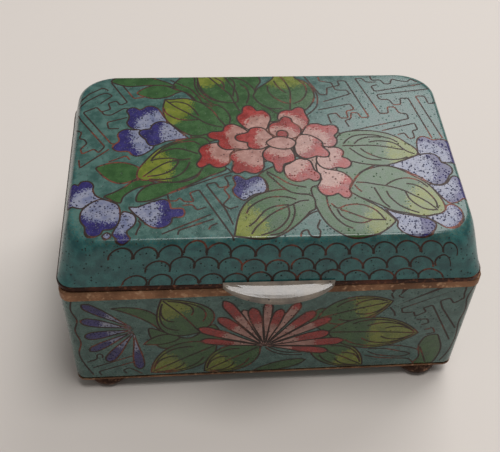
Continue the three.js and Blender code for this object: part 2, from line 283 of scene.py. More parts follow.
def leaves_right(d):
    d.leaf([(19.6, 4.8), (22, 5.6), (24.1, 5.8), (26.7, 5.8), (29.1, 5.4), (31.5, 4.6), (33.6, 3.3),
            (35.7, 1.1), (37.3, -0.7), (37.9, -2.4), (37.6, -3.2), (35.7, -4.1), (33.8, -5.2),
            (31.5, -6.3), (29.4, -7), (27, -7), (22, -6), (18, -4), (17.5, 1)], (38, -2.5), 8.1, (
        [(19.6, 0.8), (20.9, 2.5), (22.5, 3.7), (24.6, 4.2), (26.7, 4.2), (28.8, 3.9), (30.4, 3.2),
         (32, 2.6), (33.4, 1.4)],
        [(22.3, 0.8), (23.6, 2.2), (25.4, 3.1), (27.5, 3.4), (29.6, 3.3)],
        [(26.1, 1.4), (27.8, 1.8), (29.9, 1.8), (31.7, 1.4), (33.3, 0.4), (34.4, -1.1), (35.7, -2.3),
         (37, -2.9)],
        [(19.2, 0.1), (22.5, 0.1), (25.7, 0.2), (28.3, 0), (30.9, -0.5), (33, -1.1), (34.4, -1.4)],
        [(20.9, -0.7), (22.3, -2.4), (24.1, -4.1), (26.2, -5), (28.3, -5.1)],
        [(23.6, -0.9), (24.9, -2.4), (26.7, -3.7), (28.8, -4.6), (31.5, -5), (33.8, -4.6), (35, -4)]))
    d.leaf([(20.3, -12.8), (20.9, -11.7), (22, -10.2), (23.6, -8.8), (25.7, -7.9), (27.8, -7.3),
            (29.9, -7.4), (32, -8.3), (33.8, -9.6), (35.4, -10.9), (37.3, -12.5), (38.6, -14.1),
            (39.6, -16.2), (40.4, -18.3), (40.8, -20.4), (40.6, -22.3), (39.9, -23), (37.8, -23.6),
            (35.7, -24), (33.6, -23.7), (31.5, -23), (29.4, -22.5), (27.5, -21.7), (25.7, -20.4),
            (24.1, -19.4), (22.5, -18.4), (20.9, -17.7), (19, -17)],
           (41, -22), 9.2, (
        [(28, -13.8), (29.4, -12.8), (31.2, -11.9), (33.3, -11.5), (35.2, -11.9), (36.8, -13), (38, -14.6)],
        [(33, -13.4), (34.6, -13.7), (36.5, -14.9), (38, -17), (39, -19.4), (39.1, -21.7)],
        [(20.9, -12.8), (23.3, -13), (25.7, -13.6), (28, -14.1), (30.4, -14.9), (32.3, -15.9),
         (34.1, -17.3), (35.9, -18.6), (37.5, -20.2), (38.7, -21.8)],
        [(32.3, -16), (32.8, -18.3), (34.1, -20.2), (35.7, -21.6), (37.3, -22.1), (39, -22.1)],
        [(27.8, -15.8), (28.1, -17.3), (29.1, -19.1), (30.4, -20.7), (32.3, -22), (34.4, -23)],
        [(25, -14.6), (25.7, -17), (26.5, -19.4), (27.8, -21.2)],
        [(20.4, -13.6), (21.2, -15.2), (21.9, -16)]))
    d.leaf([(9.9, -14.9), (10.1, -17.5), (10.4, -19.9), (11, -22.3), (11.9, -24.7), (13, -26.6),
            (14.5, -28.2), (16.1, -29.5), (18, -30.1), (20, -30), (22.1, -29.5), (24, -29.1),
            (25.9, -27.9), (27.5, -26.5), (28.4, -25.4), (27.5, -23.8), (26.2, -22), (24.6, -20.4),
            (23, -19.2), (21.2, -17.8), (19, -16)],
           (30, -26), 8.4, (
        [(13.2, -17.3), (13.4, -20.4), (14.1, -22.8), (15.2, -24.9), (16.7, -26.5), (18.3, -27.4)],
        [(14.1, -19.6), (15.5, -21.2), (17.3, -20.4), (19.6, -20), (22, -20.4), (23.8, -21.5),
         (25.2, -23.3), (25.9, -24.8)],
        [(15.9, -21.5), (18, -22.5), (20.4, -23.8), (22.5, -24.8), (24.4, -24.9), (26.3, -25)],
        [(15.3, -21.5), (15.9, -23.3), (17.5, -24.9), (19.4, -25.7), (21.2, -25.7), (22.8, -25)]))


def leaves_low(d):
    d.leaf([(-8.9, -29), (-8.9, -29), (-8.5, -26.6), (-7.9, -23.7), (-7.1, -21.3), (-5.8, -19),
            (-4.1, -17.3), (-2.2, -16.2), (-0.3, -15.5), (1.9, -15), (3.8, -14.9), (5.2, -15.9),
            (6.9, -16.4), (9.2, -16.7), (10.1, -17.5), (10.4, -19.9), (10.2, -21.3), (9, -22),
            (7.8, -23.5), (6.6, -24.9), (5.4, -26.1), (3.8, -27.5), (2.1, -28.7), (0.2, -29.5),
            (-2, -29.8), (-4.3, -29.7), (-6.7, -29.3)], (-9.5, -27), 8.5, (
        [(-5.8, -22.3), (-5.3, -20.9), (-3.9, -19.4), (-2, -18.1), (0.2, -17.3), (2.3, -17.2),
         (4.5, -17.5), (6.1, -18.2)],
        [(-5.5, -26.2), (-3.9, -24.7), (-2.7, -23), (-1.2, -21.3), (0.4, -20.4), (2.3, -20), (4.2, -19.8)],
        [(-5, -28.5), (-3.9, -26.6), (-2.2, -24.7), (-0.5, -23), (1.4, -21.6), (3.3, -20.6), (5.2, -19.7),
         (7.1, -18.7), (9, -18.5)],
        [(4, -20.6), (4.1, -22.3), (3.5, -24.2), (2.1, -26.1), (0.4, -27.5), (-1.5, -28.4), (-2.9, -28.9)],
        [(5.3, -19.9), (5.4, -21.8), (4.8, -24.2), (3.5, -26.6), (1.9, -28.2), (-0.8, -28.9)]))
    d.wires([(-0.2, -8.8), (0.9, -9.7), (2.6, -11.1), (4.5, -12.8), (6.4, -13.7), (8.8, -14.3)],
            [(-0.3, -9.2), (0.2, -10.1), (1.6, -12), (3, -13.9), (5.2, -15.9), (6.9, -16.4), (9.2, -16.7)],
            [(-1, -11.4), (-0.4, -13), (-0.3, -15.5)])


def blue_flowers_left(d):
    g = "blue_petal"
    d.petal([(-31.8, 7.6), (-33.6, 8.8), (-34.3, 10.4), (-33.8, 12.2), (-33.9, 13.6), (-34.5, 15),
             (-34.1, 15.9), (-33, 16.4), (-32, 16.1), (-31.2, 15.4), (-30.4, 15.8), (-29.6, 16.6),
             (-28.4, 16.9), (-27.2, 16.4), (-26.3, 15.4), (-25.7, 14.2), (-25.2, 12.8), (-24.2, 10.6),
             (-26, 8), (-29, 7)], g, (-26.5, 9), 5.65)
    d.petal([(-31.4, 7.6), (-32.6, 7.5), (-34, 7.9), (-35.2, 7.6), (-36.2, 6.6), (-36.4, 5.4), (-36, 4.2),
             (-36.1, 3.2), (-37, 2.4), (-37.5, 1.2), (-37, 0.2), (-35.8, -0.4), (-34.2, -0.4),
             (-33.3, -0.7), (-32.8, -1.6), (-31.6, -2.3), (-30.4, -2), (-29, -1.1), (-27.6, 0.4),
             (-27.2, 2), (-29, 5)], g, (-21, 6.2), 12.3)
    d.petal([(-19, 3.8), (-20, 5.2), (-21.2, 6.6), (-22.4, 8.2), (-23.8, 9.8), (-25, 10.4), (-26, 10.5),
             (-27.2, 10), (-28, 9), (-28.4, 7.8), (-29.6, 7.6), (-30.8, 7.2), (-31.1, 6.2), (-30.4, 4.8),
             (-29.4, 3.6), (-29, 2.4), (-28.2, 1.4), (-27, 1.4), (-25.8, 2), (-24.4, 2.8), (-22.4, 3.2),
             (-20.4, 3.6)], g, (-16, 6), 9.8)
    d.petal([(-38.8, -16.5), (-39.9, -16), (-41, -14.7), (-41.4, -13.3), (-41.3, -12.3), (-41.8, -11.1),
             (-43.1, -10.4), (-44.4, -10.7), (-44.9, -11.7), (-46, -11.3), (-47.6, -11.8), (-48.4, -13.6),
             (-48, -16), (-47, -18.2), (-45.7, -18.8), (-43.6, -19.4), (-42, -18)], g, (-41.8, -17.4), 4.6)
    d.petal([(-34, -20.8), (-32.9, -21), (-31.6, -21.8), (-31.1, -23.1), (-31.3, -24.6), (-32.3, -26),
             (-33, -26.7), (-32.9, -27.8), (-32, -29.4), (-32.7, -30.4), (-34, -30.1), (-35.3, -29),
             (-36.2, -27.9), (-35.8, -26.2), (-35, -24), (-34.7, -22)], g, (-33.5, -22.5), 5.2)
    d.petal([(-37.4, -27.1), (-36.5, -28), (-37.3, -29.1), (-38.5, -28.2)], g, (-37.4, -28.1), 1.6)
    d.petal([(-43.8, -21.8), (-43.6, -20.3), (-42.5, -18.6), (-41, -17.3), (-39.4, -16.6), (-37.9, -17),
             (-36.6, -17.7), (-35.5, -18.4), (-34.9, -19.9), (-34.7, -21.8), (-34.9, -23.8),
             (-35.5, -25.3), (-36.8, -26.2), (-38.4, -26.4), (-38.8, -27.5), (-40.1, -28.2),
             (-41.4, -27.9), (-42.4, -26.6), (-42.5, -25.2), (-43.2, -24.2),
             (-43.7, -23.1)], g, (-37.5, -15), 9.1)
    d.petal([(-32.7, -19.4), (-31, -19.5), (-29.7, -19), (-28.1, -18.1), (-26.6, -17.6), (-25.1, -17.2),
             (-23.8, -17.7), (-23.3, -19), (-23.1, -20.1), (-21.8, -20.2), (-20.5, -20.3), (-20, -21.4),
             (-20.3, -22.6), (-21.6, -23), (-22.8, -23.1), (-23, -24.4), (-24, -25.5), (-25.7, -26.1),
             (-27.3, -25.8), (-28.6, -24.9), (-30.1, -23.1), (-31.6, -21.4)], g, (-32, -21.4), 6.6)
    d.wires([(-30.6, -23.6), (-30, -24.6), (-30.6, -26.4), (-31, -28)],
            [(-30.4, -23.2), (-29.2, -24.2), (-28.8, -25)])
    d.petal([(-8.4, -10.4), (-7.5, -9.9), (-6.4, -10.5), (-5.4, -11.4), (-4, -10.7), (-2.5, -10.3),
             (-1.2, -11.2), (-0.7, -12.8), (-0.6, -14.6), (-1.2, -15.7), (-3.2, -16.2), (-4.6, -17),
             (-6.1, -18.2), (-7.2, -17.5), (-8.4, -16), (-8.7, -14.6), (-7.9, -13),
             (-8.2, -11.7)], g, (0.5, -18.5), 7.3)


def blue_flowers_right(d):
    g = "blue_petal"
    d.petal([(38, -2.5), (38.1, -0.2), (38.5, 2), (39.2, 3.2), (40.5, 3.6), (41.8, 2.9), (42.7, 2.3),
             (44, 2.6), (45.6, 2.4), (47.4, 1.4), (49, -1), (49.4, -3.6), (48, -5.8), (46, -6.2), (44, -6),
             (41, -5), (39, -4)],
            g, (40, -4), 5.6)
    d.petal([(38.5, -13.8), (41.5, -14), (43.2, -13), (44, -11.8), (44.8, -10.9), (46.4, -11.2),
             (48, -12.6), (48.6, -15), (47.6, -17.2), (45.7, -18.6), (44, -19.8), (42.3, -20),
             (41.2, -18.8), (40.2, -17), (39.2, -15.2)],
            g, (41, -14.4), 4.3)
    d.petal([(29.7, -7), (31.5, -6.3), (34, -5.2), (36, -4.2), (37.8, -3.3), (39, -3), (40.2, -2.8),
             (42, -3.2), (42.9, -4.5), (43.2, -6), (44.2, -6.5), (45.2, -7.8), (45.1, -9.5), (44, -10.8),
             (43.4, -12), (42.5, -13.2), (41, -13.9), (39.5, -13.6), (38, -12.5), (36.8, -11.2), (35, -10),
             (33.5, -8.8), (31.5, -7.9)],
            g, (31, -8.3), 9.9)
    d.petal([(35.8, -24.3), (37.8, -23.7), (39.5, -23.2), (40.8, -22), (41.2, -20.9), (42.5, -20.4),
             (43.8, -21.2), (44.5, -22.8), (44.3, -24.8), (43.2, -26.3), (41.8, -27.5), (40, -27.8),
             (38.6, -26.8), (37.5, -25.7)],
            g, (39.3, -23.4), 4.1)
    d.petal([(26.4, -21.2), (28.2, -22.5), (30.2, -23.2), (32.2, -23.7), (34.5, -24.4), (36.5, -25.1),
             (37.6, -26.5), (37.2, -28), (36, -29.2), (34, -30.1), (32, -30.2), (30.5, -29.7),
             (29.2, -28.5), (28.5, -27), (28.9, -25.5), (28, -24), (27.1, -22.5)], g, (29, -26.5), 5.3)


def peony(d):
    g = "red_petal"
    d.cell(curve([(-9, 0), (-6, 6), (0, 9), (9, 9), (12, 6), (15, 0), (17, -5), (16, -10), (12.4, -12),
                  (10.6, -6), (3, -3), (-0.6, -5.4), (-4, -4), (-8.6, -3)], True), "flesh")
    d.petal([(-3.8, 6.7), (-5.6, 8.8), (-6.5, 10.9), (-6.2, 12.3), (-5.1, 13.3), (-4.9, 14.3),
             (-4.7, 15.5), (-3.6, 16.4), (-2.4, 16.1), (-1.6, 15), (-1.1, 14.1), (0.1, 14.4), (1.3, 13.5),
             (2.1, 12), (2.1, 10.4), (1.6, 8.9), (0.8, 6.7)], g, (-0.2, 7.6), 4.65)
    d.petal([(5, 9), (4, 10.5), (4.2, 12.2), (5, 13.6), (6.5, 14.2), (7.9, 14.2), (8.9, 15.1), (10, 15.4),
             (11.1, 14.6), (11.2, 13.2), (11.5, 12), (11.9, 10.1), (11.6, 8.5), (10.3, 6.4),
             (8, 6.5)], g, (6, 8), 4.6)
    d.petal([(9.6, 4.6), (10.4, 6.4), (11.2, 7.9), (12.6, 8.6), (14.1, 8.6), (15.4, 7.9), (17, 8.1),
             (18.3, 7.9), (19, 6.7), (18.7, 5.1), (17.7, 3.8), (18.2, 2.5), (17.9, 0.9), (16.7, -0.3),
             (15, -0.3), (13, 1.5)],
            g, (11.5, 2.2), 4.8)
    d.petal([(-11.7, 1.8), (-13.1, 1.7), (-14.7, 1.2), (-15.9, 0.3), (-16.4, -1.1), (-16, -2.2),
             (-15.8, -3), (-16.3, -4.3), (-17, -5.8), (-16.3, -7), (-15.1, -6.7), (-13.9, -5.8),
             (-13.1, -6.7), (-11.8, -7.2), (-10.3, -6.8), (-9.2, -5.7), (-8.8, -4.2), (-8.6, -2.4),
             (-7.5, -0.6), (-10, 0.6)], g, (-9, -0.7), 5)
    d.petal([(-4.6, 6.7), (-6.4, 8.2), (-7.9, 8.9), (-9.2, 8.5), (-9.9, 7.6), (-10.2, 6.3), (-11.7, 6),
             (-13.2, 5.9), (-14.1, 5), (-13.7, 3.8), (-12.3, 3), (-11.4, 2.7), (-11.6, 1.2),
             (-10.8, -0.1), (-9.3, -0.9), (-7.5, -0.6), (-4.4, -0.8), (-3, 3)], g, (-1, 4.2), 8.2)
    d.petal([(12.2, -6), (15.1, -8.4), (16.7, -8.8), (18.3, -9.6), (19.5, -11), (20.1, -12.5),
             (19.4, -13.8), (19.1, -15.2), (19.3, -16.7), (18.4, -18), (17.1, -17.6), (16.2, -16.5),
             (14.8, -17.1), (13, -17), (11.8, -15.7), (11.5, -14.1), (12.2, -12.8), (12.7, -11.2),
             (12, -9)], g, (13.9, -9.4), 5)
    d.petal([(15, -0.3), (16.5, -0.4), (18.2, -0.7), (19.2, -1.8), (19.1, -3), (18.7, -3.9), (19.9, -4.6),
             (20.7, -6.1), (20.1, -7.5), (18.8, -8.1), (17.4, -7.7), (16.5, -7.9), (15.1, -8.4),
             (13.7, -7.9), (12.6, -6.7), (12.2, -5), (13, -3)], g, (12.6, -2.8), 5.6)
    d.petal([(8, -4.5), (6.7, -5.1), (5.5, -6.2), (4.5, -6.7), (4, -8.3), (4.3, -10.1), (5.4, -11.8),
             (7, -12.4), (8.5, -12.1), (9.7, -11.5), (10.8, -12.3), (12, -12.1), (12.6, -11.1),
             (12.4, -9.6), (11.4, -8.6), (11.1, -7.1), (10.7, -5.5), (9.5, -4.6)], g, (4.4, -5.2), 5.55)
    d.petal([(-4.6, -0.9), (-6.4, -1.1), (-7.9, -1.8), (-8.8, -3), (-8.8, -4.1), (-8, -5.3), (-8.2, -6.5),
             (-8.6, -7.9), (-7.9, -9.1), (-6.7, -9.3), (-5.5, -8.6), (-4.3, -9.2), (-2.7, -9.4),
             (-1.3, -8.4), (-0.7, -7), (-0.7, -5.8), (-0.6, -4.4), (-0.6, -2.6),
             (0.4, -0.9)], g, (-1.8, -0.5), 6.5)
    d.petal([(2, 4.2), (1.1, 5.4), (0.4, 6.7), (-0.6, 7.3), (-2.2, 7.4), (-3.4, 6.8), (-4, 5.6),
             (-5.9, 4.9), (-7, 4.3), (-7.2, 3.2), (-6.4, 2.3), (-5.1, 1.9), (-4.3, 1.6), (-4.3, 0.5),
             (-3.6, -0.5), (-2.2, -0.9), (-0.6, -0.7), (0.6, 0.1), (2.4, 1)], g, (3, 2.9), 5.2)
    d.petal([(1.3, 0.1), (0.1, -0.9), (-0.7, -2.3), (-0.7, -3.9), (0.1, -5.1), (1.4, -5.8), (1.7, -7.2),
             (2, -8.6), (2.8, -9.3), (3.6, -8.8), (3.9, -7.5), (4.3, -6.3), (5.7, -5.8), (6.9, -5.1),
             (7.1, -3.9), (6.9, -2.4), (6, -0.4), (4, 1)], g, (4, 1.5), 5.2)
    d.petal([(7.6, 1.5), (7.9, 2.4), (8.5, 3.6), (9.5, 4.4), (11, 4.3), (12.5, 3.5), (13.9, 2.2),
             (14.5, 0.9), (14.3, -0.2), (15.1, -1.2), (15.7, -2.8), (15.3, -3.8), (13.9, -4), (12.5, -3.6),
             (11.2, -4.2), (9.7, -4.5), (8.3, -3.7), (7.5, -2.5), (7.3, -1)], g, (5.5, 3), 6.8)
    d.petal([(2.6, 4), (1.7, 5), (1.4, 6.7), (1.6, 8.1), (2.8, 9.2), (4.2, 9.5), (4.7, 10.6), (5.4, 11.4),
             (6.5, 11.4), (7.4, 10.7), (7.6, 9.3), (8.7, 8.2), (9.5, 6.7), (9.4, 5.1), (8.6, 3.8),
             (7.2, 3), (5, 2.4)],
            g, (4, 2.7), 5.2)
    d.petal([(4.6, 6.1), (5.7, 5.7), (6.1, 4.6), (5.5, 3.2), (3.7, 3.2), (3.2, 4.5),
             (3.6, 5.7)], g, (4.6, 1), 1.6)
    d.petal([(0.4, 1.5), (1.5, 2.8), (3, 3.6), (4.9, 3.6), (6.7, 2.9), (7.8, 1.5), (7.5, 0.5), (6.5, -0.6),
             (4.7, -1), (2.8, -0.6), (1.2, 0.2)], g, (4, 1.3), 9)
    d.wires([(6.8, -0.2), (7.1, -1.6), (7.4, -2.8), (8.2, -4.2), (9.6, -5)])


def fret_right(d):
    for path in (
        [(12.3, 29.8), (16, 20.8), (17.9, 20.6), (18.2, 23.7), (21.8, 24.8), (21.4, 26.8), (23.6, 26.8),
         (27.7, 11.2), (25.6, 10.9), (25, 13), (23.2, 13), (22.9, 10.5), (21.2, 9.8), (22, 7.3)],
        [(16.4, 28.6), (16.6, 26.8), (19.7, 26), (20.4, 22.7), (23.4, 22.6), (24, 20.9), (16.6, 17.7)],
        [(14.8, 14.2), (23.5, 16.7), (24.3, 14.4), (22, 13.6), (22.2, 10.8), (20.2, 10.8), (19.4, 12.9),
         (17, 12.3), (17.6, 8.5)],
        [(32, 26.2), (29.2, 26.1), (28.2, 28), (26.4, 27.8), (30.8, 12.6), (33, 12.8), (33.2, 15.4),
         (35.2, 15.3), (35.8, 12.9), (37.8, 12.6), (38, 10.6), (22.5, 5.8)],
        [(30.6, 29), (30.8, 27), (33.2, 27.1), (34, 25.3), (35.6, 25.3), (36.4, 27.5), (38.3, 26.6),
         (40.5, 26.2), (41.5, 27.4), (43, 26)],
        [(32, 25), (30.2, 24.2), (30.9, 22), (45, 25.4)],
        [(45.6, 23), (31.2, 20.6), (31.6, 18.6), (34.1, 18.4), (35, 16.2), (37, 16.5), (37.2, 19),
         (39.4, 19.1), (42.6, 3)],
        [(46.5, 17), (44.4, 16.8), (44, 19.9), (41.5, 20), (45.3, 3)],
        [(30.2, 5.8), (39.2, 8.8), (39.5, 6.2), (38, 5.9), (38.2, 3), (36.6, 2.8), (35.8, 5), (34, 4.3)],
    ):
        d.wire(bent(path))


def fret_left(d):
    for path in (
        [(-39, 27.2), (-34.4, 18.6), (-36.3, 17.5), (-37.3, 19.4), (-39.4, 18.4), (-38.6, 16), (-41, 15),
         (-42.2, 17), (-45.6, 15), (-37.9, 2.6), (-36.8, 2.4)],
        [(-35.9, 25.8), (-32.8, 20.2), (-30.2, 20.7)],
        [(-47.2, 14), (-39.4, 1.6), (-40.8, -0.6), (-42, 0.9), (-44.8, -0.8), (-45.3, 1), (-43.8, 3),
         (-44.6, 4.6), (-45.9, 4.9), (-45.4, 7.2), (-47, 8.2)],
        [(-34.2, 16.2), (-35.3, 16.2), (-38.4, 13.6), (-40.2, 13.8), (-40.8, 15)],
        [(-34.2, 12.5), (-39.3, 10.8), (-38.8, 8.3), (-36.2, 8.2)],
        [(-38.3, 0.6), (-45, -5.8), (-45.4, -3)],
        [(-38.2, -4), (-34, -2), (-33.1, -3.5)],
        [(-47.5, 18), (-44.6, 22.4), (-41, 25), (-39.6, 23.8)],
        [(-47, 16.4), (-45, 19.4), (-41.6, 22.2), (-40, 22.8), (-38.4, 21.6), (-41.4, 18.4)],
    ):
        d.wire(bent(path))


def fret_low(d):
    for path in (
        [(-24, -15.6), (-23.6, -17.8), (-21.8, -17.8), (-21.2, -16.8), (-20, -18.2), (-17.8, -18.2),
         (-18.8, -15.4), (-16.6, -14.4), (-8.8, -30)],
        [(-20.5, -19.3), (-18.2, -19.1), (-17.2, -20.9), (-15, -20)],
        [(-9.4, -13.4), (-11.8, -14), (-12.6, -12.1), (-14.9, -12.7), (-10.6, -20.8), (-9, -25.6)],
        [(-8.7, -9.9), (-10.5, -10.3), (-9.6, -12.2), (-9.7, -13.8), (-10.8, -14.4), (-9.4, -17),
         (-11.2, -19.4), (-9.6, -20.8), (-7.6, -20)],
        [(-25.2, -27.9), (-14, -22.3)],
        [(-21.6, -28.2), (-21.4, -26.9), (-13.4, -23.7)],
        [(-14.6, -26.8), (-14.2, -25.8), (-12.6, -25)],
        [(6, -29.4), (6.4, -28), (7.8, -27.4), (8.2, -29.4), (10.2, -29.8), (10.8, -28), (10, -27),
         (11, -24.6)],
        [(7.2, -24.3), (9, -22.6), (11, -21.8)],
    ):
        d.wire(bent(path))
    for path in ([(-23, -14.8), (-15.5, -10.9), (-9.4, -7.7), (-8.6, -9)], [(-24, -15.6), (-16, -12),
        (-9, -8.9)]):
        d.wire(curve(path))


# --- Ornament of the lid's sides --------------------------------------------------------------------
def scale(d, x, y, half, drop):
    """One fish scale: an arch of wire with its top at x, y, open at its foot."""
    shoulder, bulge = half * 0.6, half * 1.02
    d.wire(curve([(x - half, y - drop), (x - bulge, y - drop * 0.62), (x - shoulder, y - half * 0.2), (x, y),
                  (x + shoulder, y - half * 0.2), (x + bulge, y - drop * 0.62), (x + half, y - drop)]))


SCALE_STEP, SCALE_HALF = 5.15, 2.42
SCALE_ROWS = (-31.2, -32.6, 42, 3.2), (-35.2, -24.3, 41, 3.2), (-38.8, -28.6, 38, 3.0)  # top, first, last, drop


def lid_band(d):
    rand = d.random
    for row, (top, first, last, drop) in enumerate(SCALE_ROWS):
        x = first
        while x < last:
            lift = 1.3 * math.exp(-((x + 16) / 7) ** 2) if row < 2 else 0
            y = top + lift + rand.uniform(-0.25, 0.25)
            scale(d, x, y, SCALE_HALF + rand.uniform(-0.12, 0.12), drop)
            x += SCALE_STEP + rand.uniform(-0.2, 0.2)


# --- Ornament of the base: distance to the right from the middle of the front, and height -----------
def front_panel(d):
    fret_front(d)
    base_leaves(d)
    chrysanthemum(d)
    half_flower(d)


def base_leaves(d):
    d.leaf([(-30, 25.5), (-20, 21), (-14, 26), (-12, 22), (-2, 16), (-14, 17.5), (-22, 17.5), (-27, 17)])
    d.leaf([(9, 15), (14, 13), (20, 14.5), (24, 17), (22, 24), (20, 26.5), (17, 28), (12, 31), (9, 27),
            (13, 21)])
    d.nested_leaf((-38.6, 34), (-27.5, 24.6), -1.2, 4.6, 0, veins=())
    d.nested_leaf((-31.6, 19), (-22.5, 21.4), 1.4, 2.4, 0, veins=())
    d.nested_leaf((-26.5, 36.8), (-17.5, 23.2), 7.0, 7.2, 7.5, at=0.3, veins=(0.8, 0.56))
    d.nested_leaf((-30.5, 6.4), (-13.5, 17.6), 5.0, 6.2, 9, at=0.55, veins=(0.8, 0.5))
    d.nested_leaf((-16.6, 6), (-2.4, 16.2), 5.2, 5.6, 8, at=0.6, veins=(0.78, 0.5))
    d.nested_leaf((-3.6, 5.5), (9.8, 9.3), 2.0, 1.6, 0, veins=())
    d.wires([(-1, 15.5), (1, 13.4), (4.5, 11.9), (8.8, 11.5)],
            [(-0.4, 15.8), (2.2, 13.9), (5, 12.9), (8.4, 12.8)])
    d.nested_leaf((25.2, 5.8), (10.5, 15.2), 5.4, 4.2, 8, at=0.6, veins=(0.8, 0.5))
    d.wires([(27, 14.2), (33, 14), (38, 12.4), (41, 10.6)],
            [(26, 12.9), (30, 12.8), (34, 11.5), (37.4, 9.8), (36, 9.1), (32, 9.3), (28, 10.4), (26, 11.8)],
            [(25.4, 10), (29.5, 8.7), (34, 8.1), (37.8, 7.3), (39.2, 5.4)])
    d.leaf([(39.2, 5.2), (40, 8), (39.3, 14.6), (40.6, 17.6), (43.2, 18.1), (44.2, 16), (45.3, 12.6),
            (45.2, 8.5), (44.2, 5.2), (44, 4.9), (39.4, 4.9)], veins=([(39.6, 13), (41, 9.4), (42.4, 5.6)],))
    d.nested_leaf((29.4, 32.8), (11.5, 27), 5.2, 5.4, 9, at=0.6, veins=(0.8, 0.52))
    d.nested_leaf((38, 19.2), (14.5, 21), 6.4, 6.6, 13, at=0.62, veins=(0.86, 0.66, 0.42))


def chrysanthemum(d):
    focus = (-1.2, 16.3)
    for tip, width, pale in (
        ((-17.4, 19.6), 2.4, 0.5), ((-18, 24.8), 2.9, 0.62), ((-13, 28.8), 3.0, 0.66), ((-7, 31.6), 2.4, 1.2),
        ((-11.8, 35.4), 2.7, 0.66), ((-1, 34.6), 2.2, 0.9), ((-4.9, 32.3), 2.9, 0.6), ((6.6, 33.8), 2.4, 0.86),
        ((2.2, 31.4), 2.7, 0.58), ((10.6, 30), 3.1, 0.58), ((14.8, 27.1), 2.8, 0.74), ((15, 21), 3.3, 0.5),
        ((19, 17.2), 3.0, 0.64), ((15.4, 12.8), 2.6, 0.42),
    ):
        d.ray(focus, tip, width, pale, "red_petal")


def half_flower(d):
    for focus, tip, width, pale in (
        ((-34.3, 26.4), (-45.2, 35.9), 2.5, 0.52), ((-34.3, 25.9), (-46.1, 29.6), 2.9, 0.6),
        ((-34, 25.3), (-45.8, 23), 2.9, 0.48), ((-34, 24.6), (-45.2, 17), 2.4, 0.52),
        ((-33.9, 24), (-41.2, 12.2), 2.7, 0.5), ((-33.8, 23.5), (-33.2, 8.2), 2.6, 0.48),
    ):
        d.ray(focus, tip, width, pale, "blue_petal")


def fret_front(d):
    for path in (
        [(28.9, 37.6), (28.6, 35.4), (29.4, 33.8)],
        [(31.8, 37.6), (30.4, 34.6), (31.8, 34)],
        [(29, 30.4), (30.4, 28.4), (30.8, 26.8)],
        [(30, 31), (41.4, 37.6)],
        [(45.8, 37.4), (32, 29.7), (32.5, 27.9), (35.4, 28.1), (35.9, 26.2), (38.5, 28), (37.4, 29.5),
         (39.6, 30.6), (46.9, 15.6)],
        [(46.6, 37.4), (46.6, 34.4), (47, 33), (44.8, 31), (43.4, 33.2), (41.2, 32.2), (42.2, 29.4),
         (47.4, 20.6)],
        [(36.6, 24.9), (39.4, 25), (40, 23.2), (38.2, 22.6)],
        [(39.4, 20.4), (41.5, 21.2), (42.4, 19), (40.2, 18.4)],
        [(-45.2, 9.6), (-34.4, 14.4)],
        [(-34.6, 11.6), (-43.9, 7.8), (-43.4, 6)],
        [(-46.4, 12.2), (-43.8, 13.4), (-43.6, 15.6), (-42.2, 15.4), (-42.4, 13.8)],
        [(-32.8, 6), (-36, 9), (-37.7, 7.9), (-36.8, 6.4)],
    ):
        d.wire(bent(path))
    d.wires([(-47.4, 37.4), (-47.9, 34), (-46.9, 30), (-47.8, 26), (-47, 21), (-48, 16), (-47, 11),
             (-45.4, 6.4)],
            [(48.6, 37.4), (47.7, 33), (48.4, 28), (47.8, 24), (48.4, 16), (47.6, 10), (46.2, 6)])


# --- Skins ------------------------------------------------------------------------------------------
def shifted(line, distance, closed):
    """The line moved to its left by the distance."""
    ahead = np.roll(line, -1, axis=0) - line
    if not closed:
        ahead[-1] = ahead[-2]
    ahead = ahead / np.maximum(np.linalg.norm(ahead, axis=1), 1e-9)[:, None]
    behind = np.roll(ahead, 1, axis=0)
    if not closed:
        behind[0] = ahead[0]
    mean = ahead + behind
    size = np.linalg.norm(mean, axis=1)
    mean = np.where(size[:, None] > 1e-6, mean / np.maximum(size, 1e-9)[:, None], ahead)
    stretch = 1 / np.maximum(np.sum(mean * ahead, axis=1), 0.55)
    return line + np.stack([-mean[:, 1], mean[:, 0]], axis=1) * (distance * stretch)[:, None]


def inside(points, ring):
    """Which points lie inside the closed ring."""
    answer = np.zeros(len(points), bool)
    low, high = ring.min(0), ring.max(0)
    near = np.nonzero(np.all((points >= low) & (points <= high), axis=1))[0]
    if not len(near):
        return answer
    x, y = points[near, 0], points[near, 1]
    odd = np.zeros(len(near), bool)
    for (x1, y1), (x2, y2) in zip(ring, np.roll(ring, -1, axis=0)):
        if y1 == y2:
            continue
        crosses = (y1 > y) != (y2 > y)
        odd ^= crosses & (x < (x2 - x1) * (y - y1) / (y2 - y1) + x1)
    answer[near] = odd
    return answer


def edges_of(shape):
    """Outer and inner boundary of a shape's wire; an open wire has only the outer one."""
    if isinstance(shape, Wire):
        left, right = (shifted(shape.path, side * shape.width / 2, False) for side in (1, -1))
        return np.concatenate([left, right[::-1]]), None
    ring = shape.outline
    turn = np.roll(ring, -1, axis=0)
    if np.sum(ring[:, 0] * turn[:, 1] - turn[:, 0] * ring[:, 1]) < 0:
        ring = ring[::-1]
    return shifted(ring, -WIRE / 2, True), shifted(ring, WIRE / 2, True)


